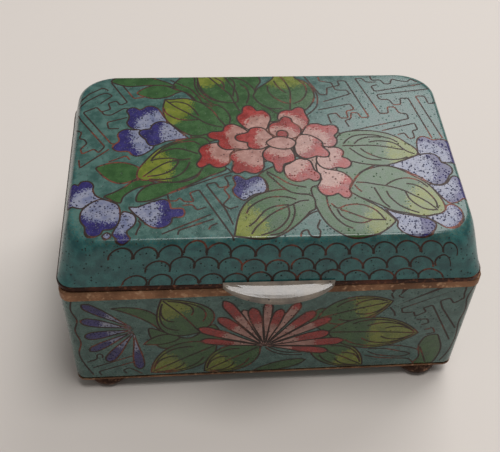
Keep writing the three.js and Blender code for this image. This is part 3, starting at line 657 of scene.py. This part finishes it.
def lay(shapes, guides, keep):
    """Triangulate the drawing. Guides are extra lines that always stay; keep says which points count."""
    rings, layers = [], []
    for layer, shape in enumerate(shapes):
        for ring in edges_of(shape):
            if ring is not None:
                rings.append(ring)
                layers.append(layer)
    points = np.concatenate(rings)
    owner = np.repeat(layers, [len(ring) for ring in rings])
    hidden = ~keep(points)
    for layer, shape in enumerate(shapes):
        if isinstance(shape, Cell):
            hidden |= inside(points, shape.outline) & (owner < layer)
    edges = []
    start = 0
    for ring in rings:
        size = len(ring)
        for step in range(size):
            a, b = start + step, start + (step + 1) % size
            if (hidden[a] and hidden[b]) or not (keep(points[[a, b]]).all()):
                continue
            edges.append((a, b))
        start += size
    verts = points
    for guide, closed in guides:
        first = len(verts)
        verts = np.concatenate([verts, guide])
        count = len(guide)
        if closed is not None:
            edges += [(first + i, first + (i + 1) % count) for i in range(count if closed else count - 1)]
    used = np.zeros(len(verts), bool)
    used[np.array(edges).ravel()] = True
    used[len(points):] = True
    number = np.cumsum(used) - 1
    edges = [(int(number[a]), int(number[b])) for a, b in edges]
    flat = delaunay_2d_cdt([Vector(p) for p in verts[used]], edges, [], 0, 1e-4, False)
    return np.array([tuple(p) for p in flat[0]]), np.array([tuple(f) for f in flat[2]])


def colour_in(shapes, middles):
    """Painter's order: the glaze and the owner of each triangle, by its middle."""
    glaze = np.full(len(middles), "turquoise", dtype=object)
    owner = np.full(len(middles), -1)
    for number, shape in enumerate(shapes):
        outer, inner = edges_of(shape)
        within = inside(middles, outer)
        glaze[within] = "wire"
        owner[within] = number
        if inner is not None:
            glaze[inside(middles, inner)] = shape.glaze
    return glaze, owner


# --- Surfaces ---------------------------------------------------------------------------------------
def ring_point(face, share, inset, corner):
    """A point of a rounded rectangle: face 0 front, 1 right, 2 back, 3 left; share -1..1 along it."""
    half = np.where(face % 2 == 0, HALF_X, HALF_Y) - inset
    out_half = np.where(face % 2 == 0, HALF_Y, HALF_X) - inset
    straight = half - corner
    travelled = np.abs(share) * (straight + corner * math.pi / 4)
    angle = np.maximum(0, travelled - straight) / corner
    along = np.sign(share) * (np.minimum(travelled, straight) + corner * np.sin(angle))
    out = out_half - corner + corner * np.cos(angle)
    return (np.choose(face, [along, out, -along, -out]), np.choose(face, [-out, along, out, -along]))


def lid_profile(thickness=0.0):
    """Side of the lid from its foot to the crease: distance travelled, inset, height and corner radius."""
    t = np.linspace(0, 1, 201)[:, None]
    high = CREASE - thickness
    handles = np.array([(SIDE_INSETS[0], LID_FOOT), (SIDE_INSETS[1], SIDE_HANDLE), (SIDE_INSETS[2], high),
                        (SIDE_INSETS[3], high)]) + (thickness, 0)
    path = (handles[0] * (1 - t) ** 3 + handles[1] * 3 * t * (1 - t) ** 2 + handles[2] * 3 * t**2 * (1 - t)
            + handles[3] * t**3)
    travelled = np.concatenate([[0], np.cumsum(np.linalg.norm(np.diff(path, axis=0), axis=1))])
    corner = LID_CORNER - thickness / 2 + (CREASE_CORNER - LID_CORNER) * t[:, 0]
    return travelled, path[:, 0], path[:, 1], corner


PROFILE = lid_profile()
SIDE_LENGTH = PROFILE[0][-1]
CREASE_X, CREASE_Y = HALF_X - CREASE_INSET, HALF_Y - CREASE_INSET


def beyond_crease(points):
    """Where a point of the flattened lid lies: distance past the crease, face and share along the face."""
    core = np.array((CREASE_X - CREASE_CORNER, CREASE_Y - CREASE_CORNER))
    held = np.clip(points, -core, core)
    away = points - held
    past = np.hypot(away[:, 0], away[:, 1]) - CREASE_CORNER
    sideways = np.abs(away[:, 0]) > np.abs(away[:, 1])
    face = np.where(sideways, np.where(away[:, 0] > 0, 1, 3), np.where(away[:, 1] > 0, 2, 0))
    along = np.choose(face, [away[:, 0], away[:, 1], -away[:, 0], -away[:, 1]])
    out = np.choose(face, [-away[:, 1], away[:, 0], away[:, 1], -away[:, 0]])
    reach = np.choose(face, [held[:, 0], held[:, 1], -held[:, 0], -held[:, 1]])
    half = np.where(face % 2 == 0, core[0], core[1])
    turned = CREASE_CORNER * np.arctan2(along, np.maximum(out, 1e-9))
    share = (reach + turned) / (half + CREASE_CORNER * math.pi / 4)
    return past, face, share


def lid_surface(points):
    """Flattened lid to its real place: the dome inside the crease, the shoulder and side beyond it."""
    past, face, share = beyond_crease(points)
    back = SIDE_LENGTH - np.clip(past, 0, SIDE_LENGTH)
    inset, height, corner = (np.interp(back, PROFILE[0], PROFILE[i]) for i in (1, 2, 3))
    x, y = ring_point(face, share, inset, corner)
    dome = CREASE + DOME * np.maximum(0, 1 - (points[:, 0] / CREASE_X) ** 2) * np.maximum(
        0, 1 - (points[:, 1] / CREASE_Y) ** 2)
    top = past <= 0
    x, y = np.where(top, points[:, 0], x), np.where(top, points[:, 1], y)
    return np.stack([x, y, np.where(top, dome, height)], 1)


def lid_ring(past, spacing=1.6):
    """Closed line on the flattened lid at a distance past the crease."""
    radius = CREASE_CORNER + past
    core = np.array((CREASE_X - CREASE_CORNER, CREASE_Y - CREASE_CORNER))
    line = []
    for (sx, sy), turn in zip(((1, -1), (1, 1), (-1, 1), (-1, -1)), (-0.5, 0, 0.5, 1)):
        steps = max(6, round(radius * math.pi / 2 / spacing))
        for step in range(steps + 1):
            angle = (turn + 0.5 * step / steps) * math.pi
            line.append((sx * core[0] + radius * math.cos(angle), sy * core[1] + radius * math.sin(angle)))
        start = np.array(line[-1])
        heading = (turn + 1) * math.pi
        length = 2 * (core[1] if turn in (-0.5, 0.5) else core[0])
        steps = round(length / spacing)
        for step in range(1, steps):
            line.append(tuple(start + np.array((math.cos(heading), math.sin(heading))) * length * step / steps))
    return np.array(line)


BASE_LENGTHS = [half - BASE_CORNER + BASE_CORNER * math.pi / 4 for half in (HALF_X, HALF_Y)]
BASE_ROUND = 4 * sum(BASE_LENGTHS)  # all the way round the base
BASE_CUT = -BASE_LENGTHS[0]  # the drawing of the base starts at the front left corner


def base_face(distance):
    """Face of the base, and share along it, for a distance to the right from the middle of the front."""
    start = (distance - BASE_CUT) % BASE_ROUND
    bounds = np.cumsum([0, *(2 * np.array(BASE_LENGTHS * 2))])
    face = np.clip(np.searchsorted(bounds, start, side="right") - 1, 0, 3)
    return face, (start - bounds[face]) / np.array(BASE_LENGTHS)[face % 2] - 1


def base_surface(points):
    """Flattened base, distance to the right from the middle of the front and height, to its real place."""
    face, share = base_face(points[:, 0])
    height = points[:, 1]
    lean = (BASE_TOP - height) / (BASE_TOP - BASE_BEND)
    inset = BASE_TOP_INSET + (BASE_FOOT_INSET - BASE_TOP_INSET) * np.clip(lean, 0, 1)
    bend = np.clip((BASE_BEND - height) / BEND_LENGTH, 0, 1) * math.pi / 2
    inset = inset + 0.5 * (1 - np.cos(bend))
    height = np.where(height < BASE_BEND, BASE_BEND - np.sin(bend), height)
    x, y = ring_point(face, share, inset, BASE_CORNER - inset / 2)
    return np.stack([x, y, height], 1)


def placed(points, turned):
    """From the lid's or the base's own millimetres to the frame's metres."""
    x, y, z = points[:, 0], points[:, 1], points[:, 2]
    if turned:
        cosine, sine = math.cos(LID_PLAY), math.sin(LID_PLAY)
        x, y = x * cosine - y * sine, x * sine + y * cosine
    return np.stack([x + MIDDLE_X, y + MIDDLE_Y, z], 1) * MM


def surface_normals(points, surface, grain=0.15):
    """Outward normals of a flattened surface at its points."""
    step = np.array((grain, 0)), np.array((0, grain))
    along = surface(points + step[0]) - surface(points - step[0])
    up = surface(points + step[1]) - surface(points - step[1])
    normal = np.cross(along, up)
    return normal / np.maximum(np.linalg.norm(normal, axis=1), 1e-12)[:, None]


ENAMELS = "turquoise", "leaf", "red_petal", "blue_petal", "flesh", "wire", "counter enamel"


class Shell:
    """Gathers the faces of one enamelled piece."""

    def __init__(self, name):
        self.name = name
        self.verts, self.normals, self.faces, self.finish, self.fade, self.tint = [], [], [], [], [], []

    def add_verts(self, points, normals):
        first = len(self.verts)
        self.verts += [tuple(point) for point in points]
        self.normals += [tuple(normal) for normal in normals]
        return first

    def add_face(self, face, finish, fade=None, tint=0.5):
        self.faces.append(tuple(int(i) for i in face))
        self.finish.append(ENAMELS.index(finish))
        self.fade += fade if fade is not None else [0.0] * len(face)
        self.tint += [tint] * len(face)

    def skin(self, shapes, flat, tris, surface, depth, turned, weld=None):
        """The outer face in its glazes. Depth shades the ground; weld says which vertex stands for which."""
        middles = flat[tris].mean(1)
        glaze, owner = colour_in(shapes, middles)
        world = placed(surface(flat), turned)
        normals = surface_normals(flat, surface)
        if turned:
            normals = placed(normals, True) / MM - (MIDDLE_X, MIDDLE_Y, 0)
        first = self.add_verts(world, normals)
        for number, face in enumerate(tris):
            shape = shapes[owner[number]] if owner[number] >= 0 else None
            fade, tint = [float(depth[i]) for i in face], 0.5
            if isinstance(shape, Cell):
                tint = shape.tint
                fade = [float(shape.reach - np.linalg.norm(flat[i] - shape.heart)) for i in face]
            if weld:
                face = [weld.get(int(i), i) for i in face]
            self.add_face([first + i for i in face], glaze[number], fade, tint)
        return first

    def rings(self, start, rings, normal_of, turned, finish, close=True):
        """Plain faces that carry on from a ring of vertices through further rings to a middle point."""
        before = start
        size = len(start)
        for ring in rings:
            first = self.add_verts(placed(ring, turned), np.tile(normal_of, (size, 1)))
            here = list(range(first, first + size))
            for step in range(size):
                turn = (step + 1) % size
                self.add_face((before[step], here[step], here[turn], before[turn]), finish)
            before = here
        if close:
            middle = np.array(rings[-1]).mean(0, keepdims=True)
            centre = self.add_verts(placed(middle, turned), [normal_of])
            for step in range(size):
                self.add_face((before[step], centre, before[(step + 1) % size]), finish)
        return before

    def build(self):
        mesh = bpy.data.meshes.new(self.name)
        mesh.from_pydata(self.verts, [], self.faces)
        for finish in ENAMELS:
            mesh.materials.append(FINISHES[finish]())
        mesh.polygons.foreach_set("material_index", self.finish)
        mesh.polygons.foreach_set("use_smooth", [True] * len(self.faces))
        for name, values in (("fade", self.fade), ("tint", self.tint)):
            layer = mesh.attributes.new(name, "FLOAT", "CORNER")
            layer.data.foreach_set("value", values)
        mesh.update()
        piece = bpy.data.objects.new(self.name, mesh)
        bpy.context.scene.collection.objects.link(piece)
        return piece


# --- Colours and shader groups ----------------------------------------------------------------------
def paint(red, green, blue):
    """A colour named in display values, 0 to 255, as the shader's linear colour."""
    linear = [((v / 255 + 0.055) / 1.055) ** 2.4 if v > 10 else v / 255 / 12.92 for v in (red, green, blue)]
    return *linear, 1


def add(tree, kind, values=None, **settings):
    """A node with its settings, and its unlinked inputs set or linked by name or number."""
    node = tree.nodes.new(kind)
    for key, value in settings.items():
        setattr(node, key, value)
    for key, value in (values or {}).items():
        if isinstance(value, bpy.types.NodeSocket):
            tree.links.new(value, node.inputs[key])
        else:
            node.inputs[key].default_value = value
    return node


def math_node(tree, operation, first, second=0.0):
    node = add(tree, "ShaderNodeMath", {0: first, 1: second}, operation=operation)
    return node.outputs[0]


def mix(tree, factor, first, second):
    node = add(tree, "ShaderNodeMix", data_type="RGBA")
    for key, value in ((0, factor), (6, first), (7, second)):
        if isinstance(value, bpy.types.NodeSocket):
            tree.links.new(value, node.inputs[key])
        else:
            node.inputs[key].default_value = value
    return node.outputs[2]


def ramp(tree, value, low, high):
    node = add(tree, "ShaderNodeMapRange", {"Value": value, "From Min": low, "From Max": high}, clamp=True,
               interpolation_type="SMOOTHSTEP")
    return node.outputs[0]


def new_group(name, inputs, outputs):
    group = bpy.data.node_groups.new(name, "ShaderNodeTree")
    for label, kind, default in inputs:
        socket = group.interface.new_socket(label, in_out="INPUT", socket_type=kind)
        socket.default_value = default
    for label, kind in outputs:
        group.interface.new_socket(label, in_out="OUTPUT", socket_type=kind)
    return group, group.nodes.new("NodeGroupInput").outputs, group.nodes.new("NodeGroupOutput").inputs


GROUPS = {}


def enamel_grain():
    """Fired glass: cloudy mottling, fine grain and the small pits that the polish has opened."""
    if "enamel grain" in GROUPS:
        return GROUPS["enamel grain"]
    number = "NodeSocketFloat"
    group, given, result = new_group(
        "enamel grain",
        [("Cloud size", number, 2.2), ("Grain size", number, 0.45), ("Pit spacing", number, 0.9),
         ("Pit share", number, 0.4), ("Pit size", number, 0.16)],
        [("Cloud", number), ("Grain", number), ("Pits", number), ("Height", number)])
    where = add(group, "ShaderNodeTexCoord").outputs["Object"]
    per_metre = 1000.0

    def frequency(size):
        return math_node(group, "DIVIDE", per_metre, size)

    cloud = add(group, "ShaderNodeTexNoise", {"Vector": where, "Scale": frequency(given["Cloud size"]),
                                              "Detail": 3.0, "Roughness": 0.6}).outputs["Fac"]
    grain = add(group, "ShaderNodeTexNoise", {"Vector": where, "Scale": frequency(given["Grain size"]),
                                              "Detail": 2.0, "Roughness": 0.7}).outputs["Fac"]
    cells = add(group, "ShaderNodeTexVoronoi", {"Vector": where, "Scale": frequency(given["Pit spacing"])})
    chance = add(group, "ShaderNodeSeparateColor", {"Color": cells.outputs["Color"]})
    size = math_node(group, "DIVIDE", given["Pit size"], given["Pit spacing"])
    size = math_node(group, "MULTIPLY", size, math_node(group, "ADD", chance.outputs[1], 0.45))
    lies = ramp(group, math_node(group, "DIVIDE", cells.outputs["Distance"], size), 1.25, 0.75)
    chosen = math_node(group, "LESS_THAN", chance.outputs[0], given["Pit share"])
    pits = math_node(group, "MULTIPLY", lies, chosen)
    height = math_node(group, "SUBTRACT", math_node(group, "MULTIPLY", cloud, 0.35), pits)
    for label, value in (("Cloud", ramp(group, cloud, 0.3, 0.7)), ("Grain", ramp(group, grain, 0.32, 0.68)),
                         ("Pits", pits), ("Height", height)):
        group.links.new(value, result[label])
    GROUPS["enamel grain"] = group
    return group


def shaded_glaze():
    """Two glazes that meet in a grainy edge: the first near the heart of the cell, the second past it."""
    if "shaded glaze" in GROUPS:
        return GROUPS["shaded glaze"]
    number, colour = "NodeSocketFloat", "NodeSocketColor"
    group, given, result = new_group(
        "shaded glaze",
        [("Near", colour, (1, 1, 1, 1)), ("Far", colour, (0, 0, 0, 1)), ("Reach", number, 0.0),
         ("Grain", number, 0.5), ("Edge", number, 0.9)],
        [("Color", colour), ("Mask", number)])
    shaken = math_node(group, "ADD", given["Reach"],
                       math_node(group, "MULTIPLY", math_node(group, "SUBTRACT", given["Grain"], 0.5),
                                 math_node(group, "MULTIPLY", given["Edge"], 2.0)))
    mask = ramp(group, math_node(group, "DIVIDE", shaken, given["Edge"]), -0.35, 0.35)
    group.links.new(mix(group, mask, given["Far"], given["Near"]), result["Color"])
    group.links.new(mask, result["Mask"])
    GROUPS["shaded glaze"] = group
    return group


def place_group(tree, group, values):
    node = add(tree, "ShaderNodeGroup", node_tree=group)
    for key, value in values.items():
        if isinstance(value, bpy.types.NodeSocket):
            tree.links.new(value, node.inputs[key])
        else:
            node.inputs[key].default_value = value
    return node.outputs


# --- Finishes ---------------------------------------------------------------------------------------
MADE = {}


def finish(name):
    """Remembers each material so that pieces share it."""
    def keep(build):
        def make():
            if name not in MADE:
                material = bpy.data.materials.new(name)
                material.use_nodes = True
                tree = material.node_tree
                shader = tree.nodes["Principled BSDF"]
                build(tree, shader)
                MADE[name] = material
            return MADE[name]
        FINISHES[name] = make
        return make
    return keep


FINISHES = {}


def bump(tree, shader, height, distance, strength=0.6):
    node = add(tree, "ShaderNodeBump", {"Height": height, "Distance": distance, "Strength": strength})
    tree.links.new(node.outputs[0], shader.inputs["Normal"])


def glassy(tree, shader, colour, grain, rough=0.22, pit_rough=0.5, pit_depth=0.00006):
    """Common surface of every glaze: polished glass with slight orange peel and open pits."""
    tree.links.new(colour, shader.inputs["Base Color"])
    roughness = math_node(tree, "ADD", rough, math_node(tree, "MULTIPLY", grain["Pits"], pit_rough))
    roughness = math_node(tree, "ADD", roughness, math_node(tree, "MULTIPLY", grain["Cloud"], 0.08))
    tree.links.new(roughness, shader.inputs["Roughness"])
    shader.inputs["Specular IOR Level"].default_value = 0.5
    bump(tree, shader, grain["Height"], pit_depth)


def attribute(tree, name):
    return add(tree, "ShaderNodeAttribute", attribute_name=name, attribute_type="GEOMETRY").outputs["Fac"]


def one_glaze(name, dark, light, speck, pits=None, **look):
    """A glaze of one colour: mottled between dark and light, with specks."""
    @finish(name)
    def build(tree, shader):
        grain = place_group(tree, enamel_grain(), pits or {})
        colour = mix(tree, grain["Cloud"], paint(*dark), paint(*light))
        colour = mix(tree, math_node(tree, "MULTIPLY", grain["Grain"], 0.35), colour, paint(*dark))
        tint = math_node(tree, "MULTIPLY", attribute(tree, "tint"), 0.25)
        colour = mix(tree, tint, colour, paint(*dark))
        colour = mix(tree, grain["Pits"], colour, paint(*speck))
        glassy(tree, shader, colour, grain, **look)


def two_glazes(name, near, far, speck, far_speck, pits=None, edge=0.9, near_dark=None, far_dark=None, **look):
    """A cell shaded from one glaze to another, as petals and leaves are."""
    @finish(name)
    def build(tree, shader):
        grain = place_group(tree, enamel_grain(), pits or {})
        near_mix = mix(tree, grain["Cloud"], paint(*near_dark), paint(*near))
        far_mix = mix(tree, grain["Cloud"], paint(*far_dark), paint(*far))
        shade = place_group(tree, shaded_glaze(), {
            "Near": mix(tree, grain["Pits"], near_mix, paint(*speck)),
            "Far": mix(tree, math_node(tree, "MULTIPLY", grain["Pits"], 0.5), far_mix, paint(*far_speck)),
            "Reach": attribute(tree, "fade"), "Grain": grain["Grain"], "Edge": edge})
        tint = math_node(tree, "MULTIPLY", attribute(tree, "tint"), 0.2)
        glassy(tree, shader, mix(tree, tint, shade["Color"], paint(*far_dark)), grain, **look)


two_glazes("turquoise", (50, 106, 104), (76, 108, 101), (8, 16, 18), (10, 18, 18),
           {"Pit spacing": 0.8, "Pit share": 0.5, "Pit size": 0.17}, 1.8, (28, 76, 78), (46, 78, 72))
one_glaze("flesh", (124, 88, 75), (150, 116, 104), (50, 24, 20),
          {"Pit spacing": 0.8, "Pit share": 0.4, "Pit size": 0.15})
one_glaze("counter enamel", (46, 104, 104), (70, 134, 130), (16, 30, 30))
two_glazes("leaf", (118, 124, 38), (52, 88, 44), (46, 40, 14), (12, 22, 12),
           {"Pit spacing": 0.9, "Pit share": 0.45, "Pit size": 0.16}, 1.1, (90, 102, 32), (38, 70, 34))
two_glazes("red_petal", (174, 134, 124), (152, 42, 36), (56, 24, 24), (60, 14, 12),
           {"Pit spacing": 0.7, "Pit share": 0.5, "Pit size": 0.16}, 0.8, (148, 108, 98), (118, 30, 26))
two_glazes("blue_petal", (140, 142, 158), (46, 40, 104), (16, 18, 50), (12, 10, 36),
           {"Pit spacing": 0.55, "Pit share": 0.7, "Pit size": 0.19}, 0.8, (104, 110, 138), (32, 27, 76))


@finish("wire")
def wire_finish(tree, shader):
    """Copper wire: dark with age, worn to red copper in places."""
    where = add(tree, "ShaderNodeTexCoord").outputs["Object"]
    patches = add(tree, "ShaderNodeTexNoise", {"Vector": where, "Scale": 140.0, "Detail": 3.0}).outputs["Fac"]
    fine = add(tree, "ShaderNodeTexNoise", {"Vector": where, "Scale": 1500.0, "Detail": 2.0}).outputs["Fac"]
    colour = mix(tree, ramp(tree, patches, 0.5, 0.66), paint(46, 28, 20), paint(112, 56, 38))
    colour = mix(tree, ramp(tree, fine, 0.4, 0.7), colour, paint(34, 22, 18))
    tree.links.new(colour, shader.inputs["Base Color"])
    shader.inputs["Metallic"].default_value = 0.35
    shader.inputs["Roughness"].default_value = 0.5


def old_copper(name, dark, worn, shine, low, high, rough=0.42, scale=90.0, metal=0.85):
    """Copper whose patina is rubbed away in patches."""
    @finish(name)
    def build(tree, shader):
        where = add(tree, "ShaderNodeTexCoord").outputs["Object"]
        patches = add(tree, "ShaderNodeTexNoise", {"Vector": where, "Scale": scale, "Detail": 5.0,
                                                   "Roughness": 0.65}).outputs["Fac"]
        fine = add(tree, "ShaderNodeTexNoise", {"Vector": where, "Scale": 900.0, "Detail": 3.0}).outputs["Fac"]
        colour = mix(tree, ramp(tree, patches, low, high), paint(*dark), paint(*worn))
        colour = mix(tree, ramp(tree, fine, 0.52, 0.72), colour, paint(*shine))
        tree.links.new(colour, shader.inputs["Base Color"])
        roughness = math_node(tree, "ADD", rough, math_node(tree, "MULTIPLY", fine, 0.25))
        tree.links.new(roughness, shader.inputs["Roughness"])
        shader.inputs["Metallic"].default_value = metal
        bump(tree, shader, fine, 0.00005, 0.4)


old_copper("bright copper", (104, 74, 54), (150, 110, 82), (182, 146, 116), 0.35, 0.65)
old_copper("dark copper", (52, 32, 26), (92, 54, 40), (120, 78, 58), 0.42, 0.7, rough=0.4)
old_copper("foot copper", (60, 42, 35), (98, 68, 53), (140, 106, 84), 0.4, 0.7, rough=0.35)
# Thumb lip: its enamel painted pale grey-beige, a painted reflection of the overhead light on the lip.
one_glaze("lip enamel with painted reflection", (104, 96, 88), (146, 134, 120), (40, 30, 28),
          {"Cloud size": 4.5, "Pit spacing": 1.2, "Pit share": 0.25}, rough=0.16)


# --- Pieces -----------------------------------------------------------------------------------------
def finished(piece, slot, *nodes):
    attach(piece, "root")
    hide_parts(*nodes)
    return piece


def add_normals(piece, count, normals):
    """Normals of the curved skin itself on the first vertices; sharp edges by angle elsewhere."""
    for other in bpy.context.selected_objects:
        other.select_set(False)
    piece.select_set(True)
    bpy.context.view_layer.objects.active = piece
    bpy.ops.object.shade_smooth_by_angle(angle=math.radians(40))
    mesh = piece.data
    vertex = np.zeros(len(mesh.loops), int)
    mesh.loops.foreach_get("vertex_index", vertex)
    start = np.zeros(len(mesh.polygons), int)
    total = np.zeros(len(mesh.polygons), int)
    mesh.polygons.foreach_get("loop_start", start)
    mesh.polygons.foreach_get("loop_total", total)
    of_face = np.repeat(np.arange(len(total)), total)
    outer = np.ones(len(mesh.polygons), bool)
    np.logical_and.at(outer, of_face, vertex < count)
    wanted = np.array(normals)[vertex]
    wanted[~outer[of_face]] = 0
    mesh.normals_split_custom_set([tuple(n) for n in wanted])


MARGIN = 0.02  # wires stop this short of an enamel's edge


def on_lid(points):
    return beyond_crease(points)[0] < SIDE_LENGTH - MARGIN


BAND_START = 1.0  # how far past the crease the lid's ground turns to the deeper glaze
SHOULDER_RINGS = 0.0, 0.6, 1.3, 2.1, 3.0, 4.2, 5.6, 7.4, 9.4, 11.2  # past the crease, closer at the bend
INNER_RINGS = 9  # rings up the inside of the lid's side
GRID_X, GRID_Y = 3.4, 3.0  # spacing of the points that carry the dome


def dome_grid():
    """Points spread over the domed top, well inside the crease."""
    rows = enumerate(np.arange(-28, 28.1, GRID_Y))
    grid = [(x + (row % 2) * GRID_X / 2, y) for row, y in rows for x in np.arange(-44, 43, GRID_X)]
    return np.array([p for p in grid if beyond_crease(np.array([p]))[0][0] < -0.8])


def lid_enamel():
    drawing = Drawing(11)
    lid_band(drawing)
    lid_top(drawing)
    guides = [(lid_ring(past), True) for past in (SIDE_LENGTH, *SHOULDER_RINGS)]
    guides.append((dome_grid(), None))
    flat, tris = lay(drawing.shapes, guides, on_lid)
    shell = Shell("lid_enamel")
    first = shell.skin(drawing.shapes, flat, tris, lid_surface, beyond_crease(flat)[0] - BAND_START, False)
    count = len(shell.verts)
    edge = lid_ring(SIDE_LENGTH)
    index = {tuple(np.round(p, 3)): i for i, p in enumerate(flat)}
    start = [first + index[tuple(np.round(p, 3))] for p in edge]
    _, face, share = beyond_crease(edge)
    back, inset, height, corner = lid_profile(WALL)
    rings = []
    for step in np.linspace(0, 1, INNER_RINGS):
        level = step * back[-1]
        i, h, c = (np.interp(level, back, values) for values in (inset, height, corner))
        x, y = ring_point(face, share, i, c)
        rings.append(np.stack([x, y, np.full(len(x), h)], 1))
    for shrink in (0.75, 0.4):
        inner = rings[INNER_RINGS - 1] * (shrink, shrink, 1)
        inner[:, 2] += DOME * (1 - shrink**2) ** 2
        rings.append(inner)
    shell.rings(start, rings, (0, 0, -1), False, "counter enamel")
    piece = shell.build()
    add_normals(piece, count, shell.normals)
    finished(piece, "enamel_lid", "lid_shell")


BASE_STEPS = 220  # points along each guide round the base
PALE_GROUND = -3.0  # depth at which the ground keeps its paler glaze


def base_enamel():
    drawing = Drawing(23)
    front_panel(drawing)
    low, high = BASE_BEND - BEND_LENGTH, BASE_TOP
    start, end = BASE_CUT, BASE_CUT + BASE_ROUND
    across = np.linspace(start, end, BASE_STEPS + 1)
    levels = [low, low + 0.45, low + 0.9, BASE_BEND, 12, 18, 24, 31, high]
    guides = [(np.stack([across, np.full(BASE_STEPS + 1, level)], 1), False) for level in levels]
    for edge in (start, end):
        guides.append((np.array([(edge, level) for level in levels]), False))
    for corner in np.cumsum([0, 2 * BASE_LENGTHS[0], 2 * BASE_LENGTHS[1], 2 * BASE_LENGTHS[0]]) + start:
        for lean in np.linspace(-2.2, 2.2, 7):
            x = start + (corner + lean - start) % BASE_ROUND
            if abs(x - start) > 1e-6:
                guides.append((np.array([(x, level) for level in levels]), False))

    def keep(points):
        return ((points[:, 0] > start + MARGIN) & (points[:, 0] < end - MARGIN) & (points[:, 1] > low + MARGIN)
                & (points[:, 1] < high - MARGIN))

    flat, tris = lay(drawing.shapes, guides, keep)
    shell = Shell("base_enamel")
    seam = {round(float(flat[i, 1]), 3): int(i) for i in np.nonzero(np.abs(flat[:, 0] - start) < 1e-3)[0]}
    weld = {int(i): seam[round(float(flat[i, 1]), 3)] for i in np.nonzero(np.abs(flat[:, 0] - end) < 1e-3)[0]}
    first = shell.skin(drawing.shapes, flat, tris, base_surface, np.full(len(flat), PALE_GROUND), True, weld)
    outer = len(shell.verts)

    def boundary(level):
        on = np.nonzero(np.abs(flat[:, 1] - level) < 1e-3)[0]
        on = on[np.argsort(flat[on, 0])]
        return on[:-1]

    top, bottom = boundary(high), boundary(low)
    for on, flip, rings in (
        (top, True, [(BASE_TOP_INSET + WALL, BASE_TOP), (BASE_FOOT_INSET + WALL, FOOT_HEIGHT + WALL + 1),
                     (BASE_FOOT_INSET + WALL + 1, FOOT_HEIGHT + WALL), (20, FOOT_HEIGHT + WALL)]),
        (bottom, False, [(REBATE, BASE_SHELF), (REBATE, FOOT_HEIGHT), (20, FOOT_HEIGHT)]),
    ):
        face, share = base_face(flat[on, 0])
        lines = []
        for inset, height in rings:
            x, y = ring_point(face, share, inset, max(BASE_CORNER - inset / 2, 1.2))
            lines.append(np.stack([x, y, np.full(len(x), float(height))], 1))
        ids = [first + int(i) for i in on]
        if flip:
            ids, lines = ids[::-1], [line[::-1] for line in lines]
        shell.rings(ids, lines, (0, 0, 1), True, "counter enamel")
    piece = shell.build()
    add_normals(piece, outer, shell.normals)
    finished(piece, "enamel_base", "base_body")


# --- Carried-over bands, lip and feet, with their finishes -------------------------------------------
def dress(node, finish_name):
    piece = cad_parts[node]
    piece.data.materials.clear()
    piece.data.materials.append(FINISHES[finish_name]())


# --- Floor, light and camera ------------------------------------------------------------------------
def floor():
    bpy.ops.object.select_all(action="DESELECT")
    bpy.ops.mesh.primitive_plane_add(size=6, location=(0, 0, 0))
    plane = bpy.context.active_object
    plane.name = "floor"
    material = bpy.data.materials.new("pale paper")
    material.use_nodes = True
    shader = material.node_tree.nodes["Principled BSDF"]
    shader.inputs["Base Color"].default_value = paint(216, 208, 201)
    shader.inputs["Roughness"].default_value = 0.85
    plane.data.materials.append(material)


def area_light(name, place, aim, size, power):
    data = bpy.data.lights.new(name, "AREA")
    data.shape, data.size, data.size_y, data.energy = "RECTANGLE", size[0], size[1], power
    lamp = bpy.data.objects.new(name, data)
    bpy.context.scene.collection.objects.link(lamp)
    lamp.location = place
    lamp.rotation_euler = (Vector(aim) - Vector(place)).to_track_quat("-Z", "Y").to_euler()


def light():
    world = bpy.data.worlds.new("studio")
    world.use_nodes = True
    bpy.context.scene.world = world
    background = world.node_tree.nodes["Background"]
    background.inputs["Color"].default_value = (1.0, 0.97, 0.95, 1)
    background.inputs["Strength"].default_value = 0.2
    area_light("window", place=(0.55, 0.75, 0.95), aim=(0, 0, 0), size=(0.9, 0.6), power=8)
    area_light("overhead", place=(0.15, -0.05, 1.1), aim=(0, 0, 0), size=(0.6, 0.4), power=6.6)
    bpy.context.scene.view_settings.view_transform = "Standard"


VIEW_TURN, VIEW_RISE, VIEW_ROLL = -0.0933, 0.8173, 0.0465  # radians
VIEW_DISTANCE = 241.85
VIEW_AIM = (-2.693, 2.481)  # aim right of and above the middle of the box, across the view
VIEW_HEIGHT = 22.0
LENS = 63.66


def camera():
    back = Vector((math.sin(VIEW_TURN) * math.cos(VIEW_RISE), -math.cos(VIEW_TURN) * math.cos(VIEW_RISE),
                   math.sin(VIEW_RISE)))
    level = Vector((math.cos(VIEW_TURN), math.sin(VIEW_TURN), 0))
    upright = back.cross(level)
    right = level * math.cos(VIEW_ROLL) + upright * math.sin(VIEW_ROLL)
    up = upright * math.cos(VIEW_ROLL) - level * math.sin(VIEW_ROLL)
    aim = Vector((MIDDLE_X, MIDDLE_Y, VIEW_HEIGHT)) + right * VIEW_AIM[0] + up * VIEW_AIM[1]
    data = bpy.data.cameras.new("camera")
    data.lens, data.sensor_width, data.sensor_fit = LENS, 36.0, "HORIZONTAL"
    data.clip_start = 0.01
    eye = bpy.data.objects.new("camera", data)
    bpy.context.scene.collection.objects.link(eye)
    place = (aim + back * VIEW_DISTANCE) * MM
    turn = Matrix((right, up, back)).transposed().to_4x4()
    eye.matrix_world = Matrix.Translation(place) @ turn
    bpy.context.scene.camera = eye


lid_enamel()
base_enamel()
dress("lid_rim", "dark copper")
dress("base_rim", "bright copper")
dress("bottom_rim", "bright copper")
# thumb lip in enamel painted pale as a reflection of the overhead light
dress("thumb_lip", "lip enamel with painted reflection")
for foot in ("foot_front_left", "foot_front_right", "foot_back_left", "foot_back_right"):
    dress(foot, "foot copper")
floor()
light()
camera()
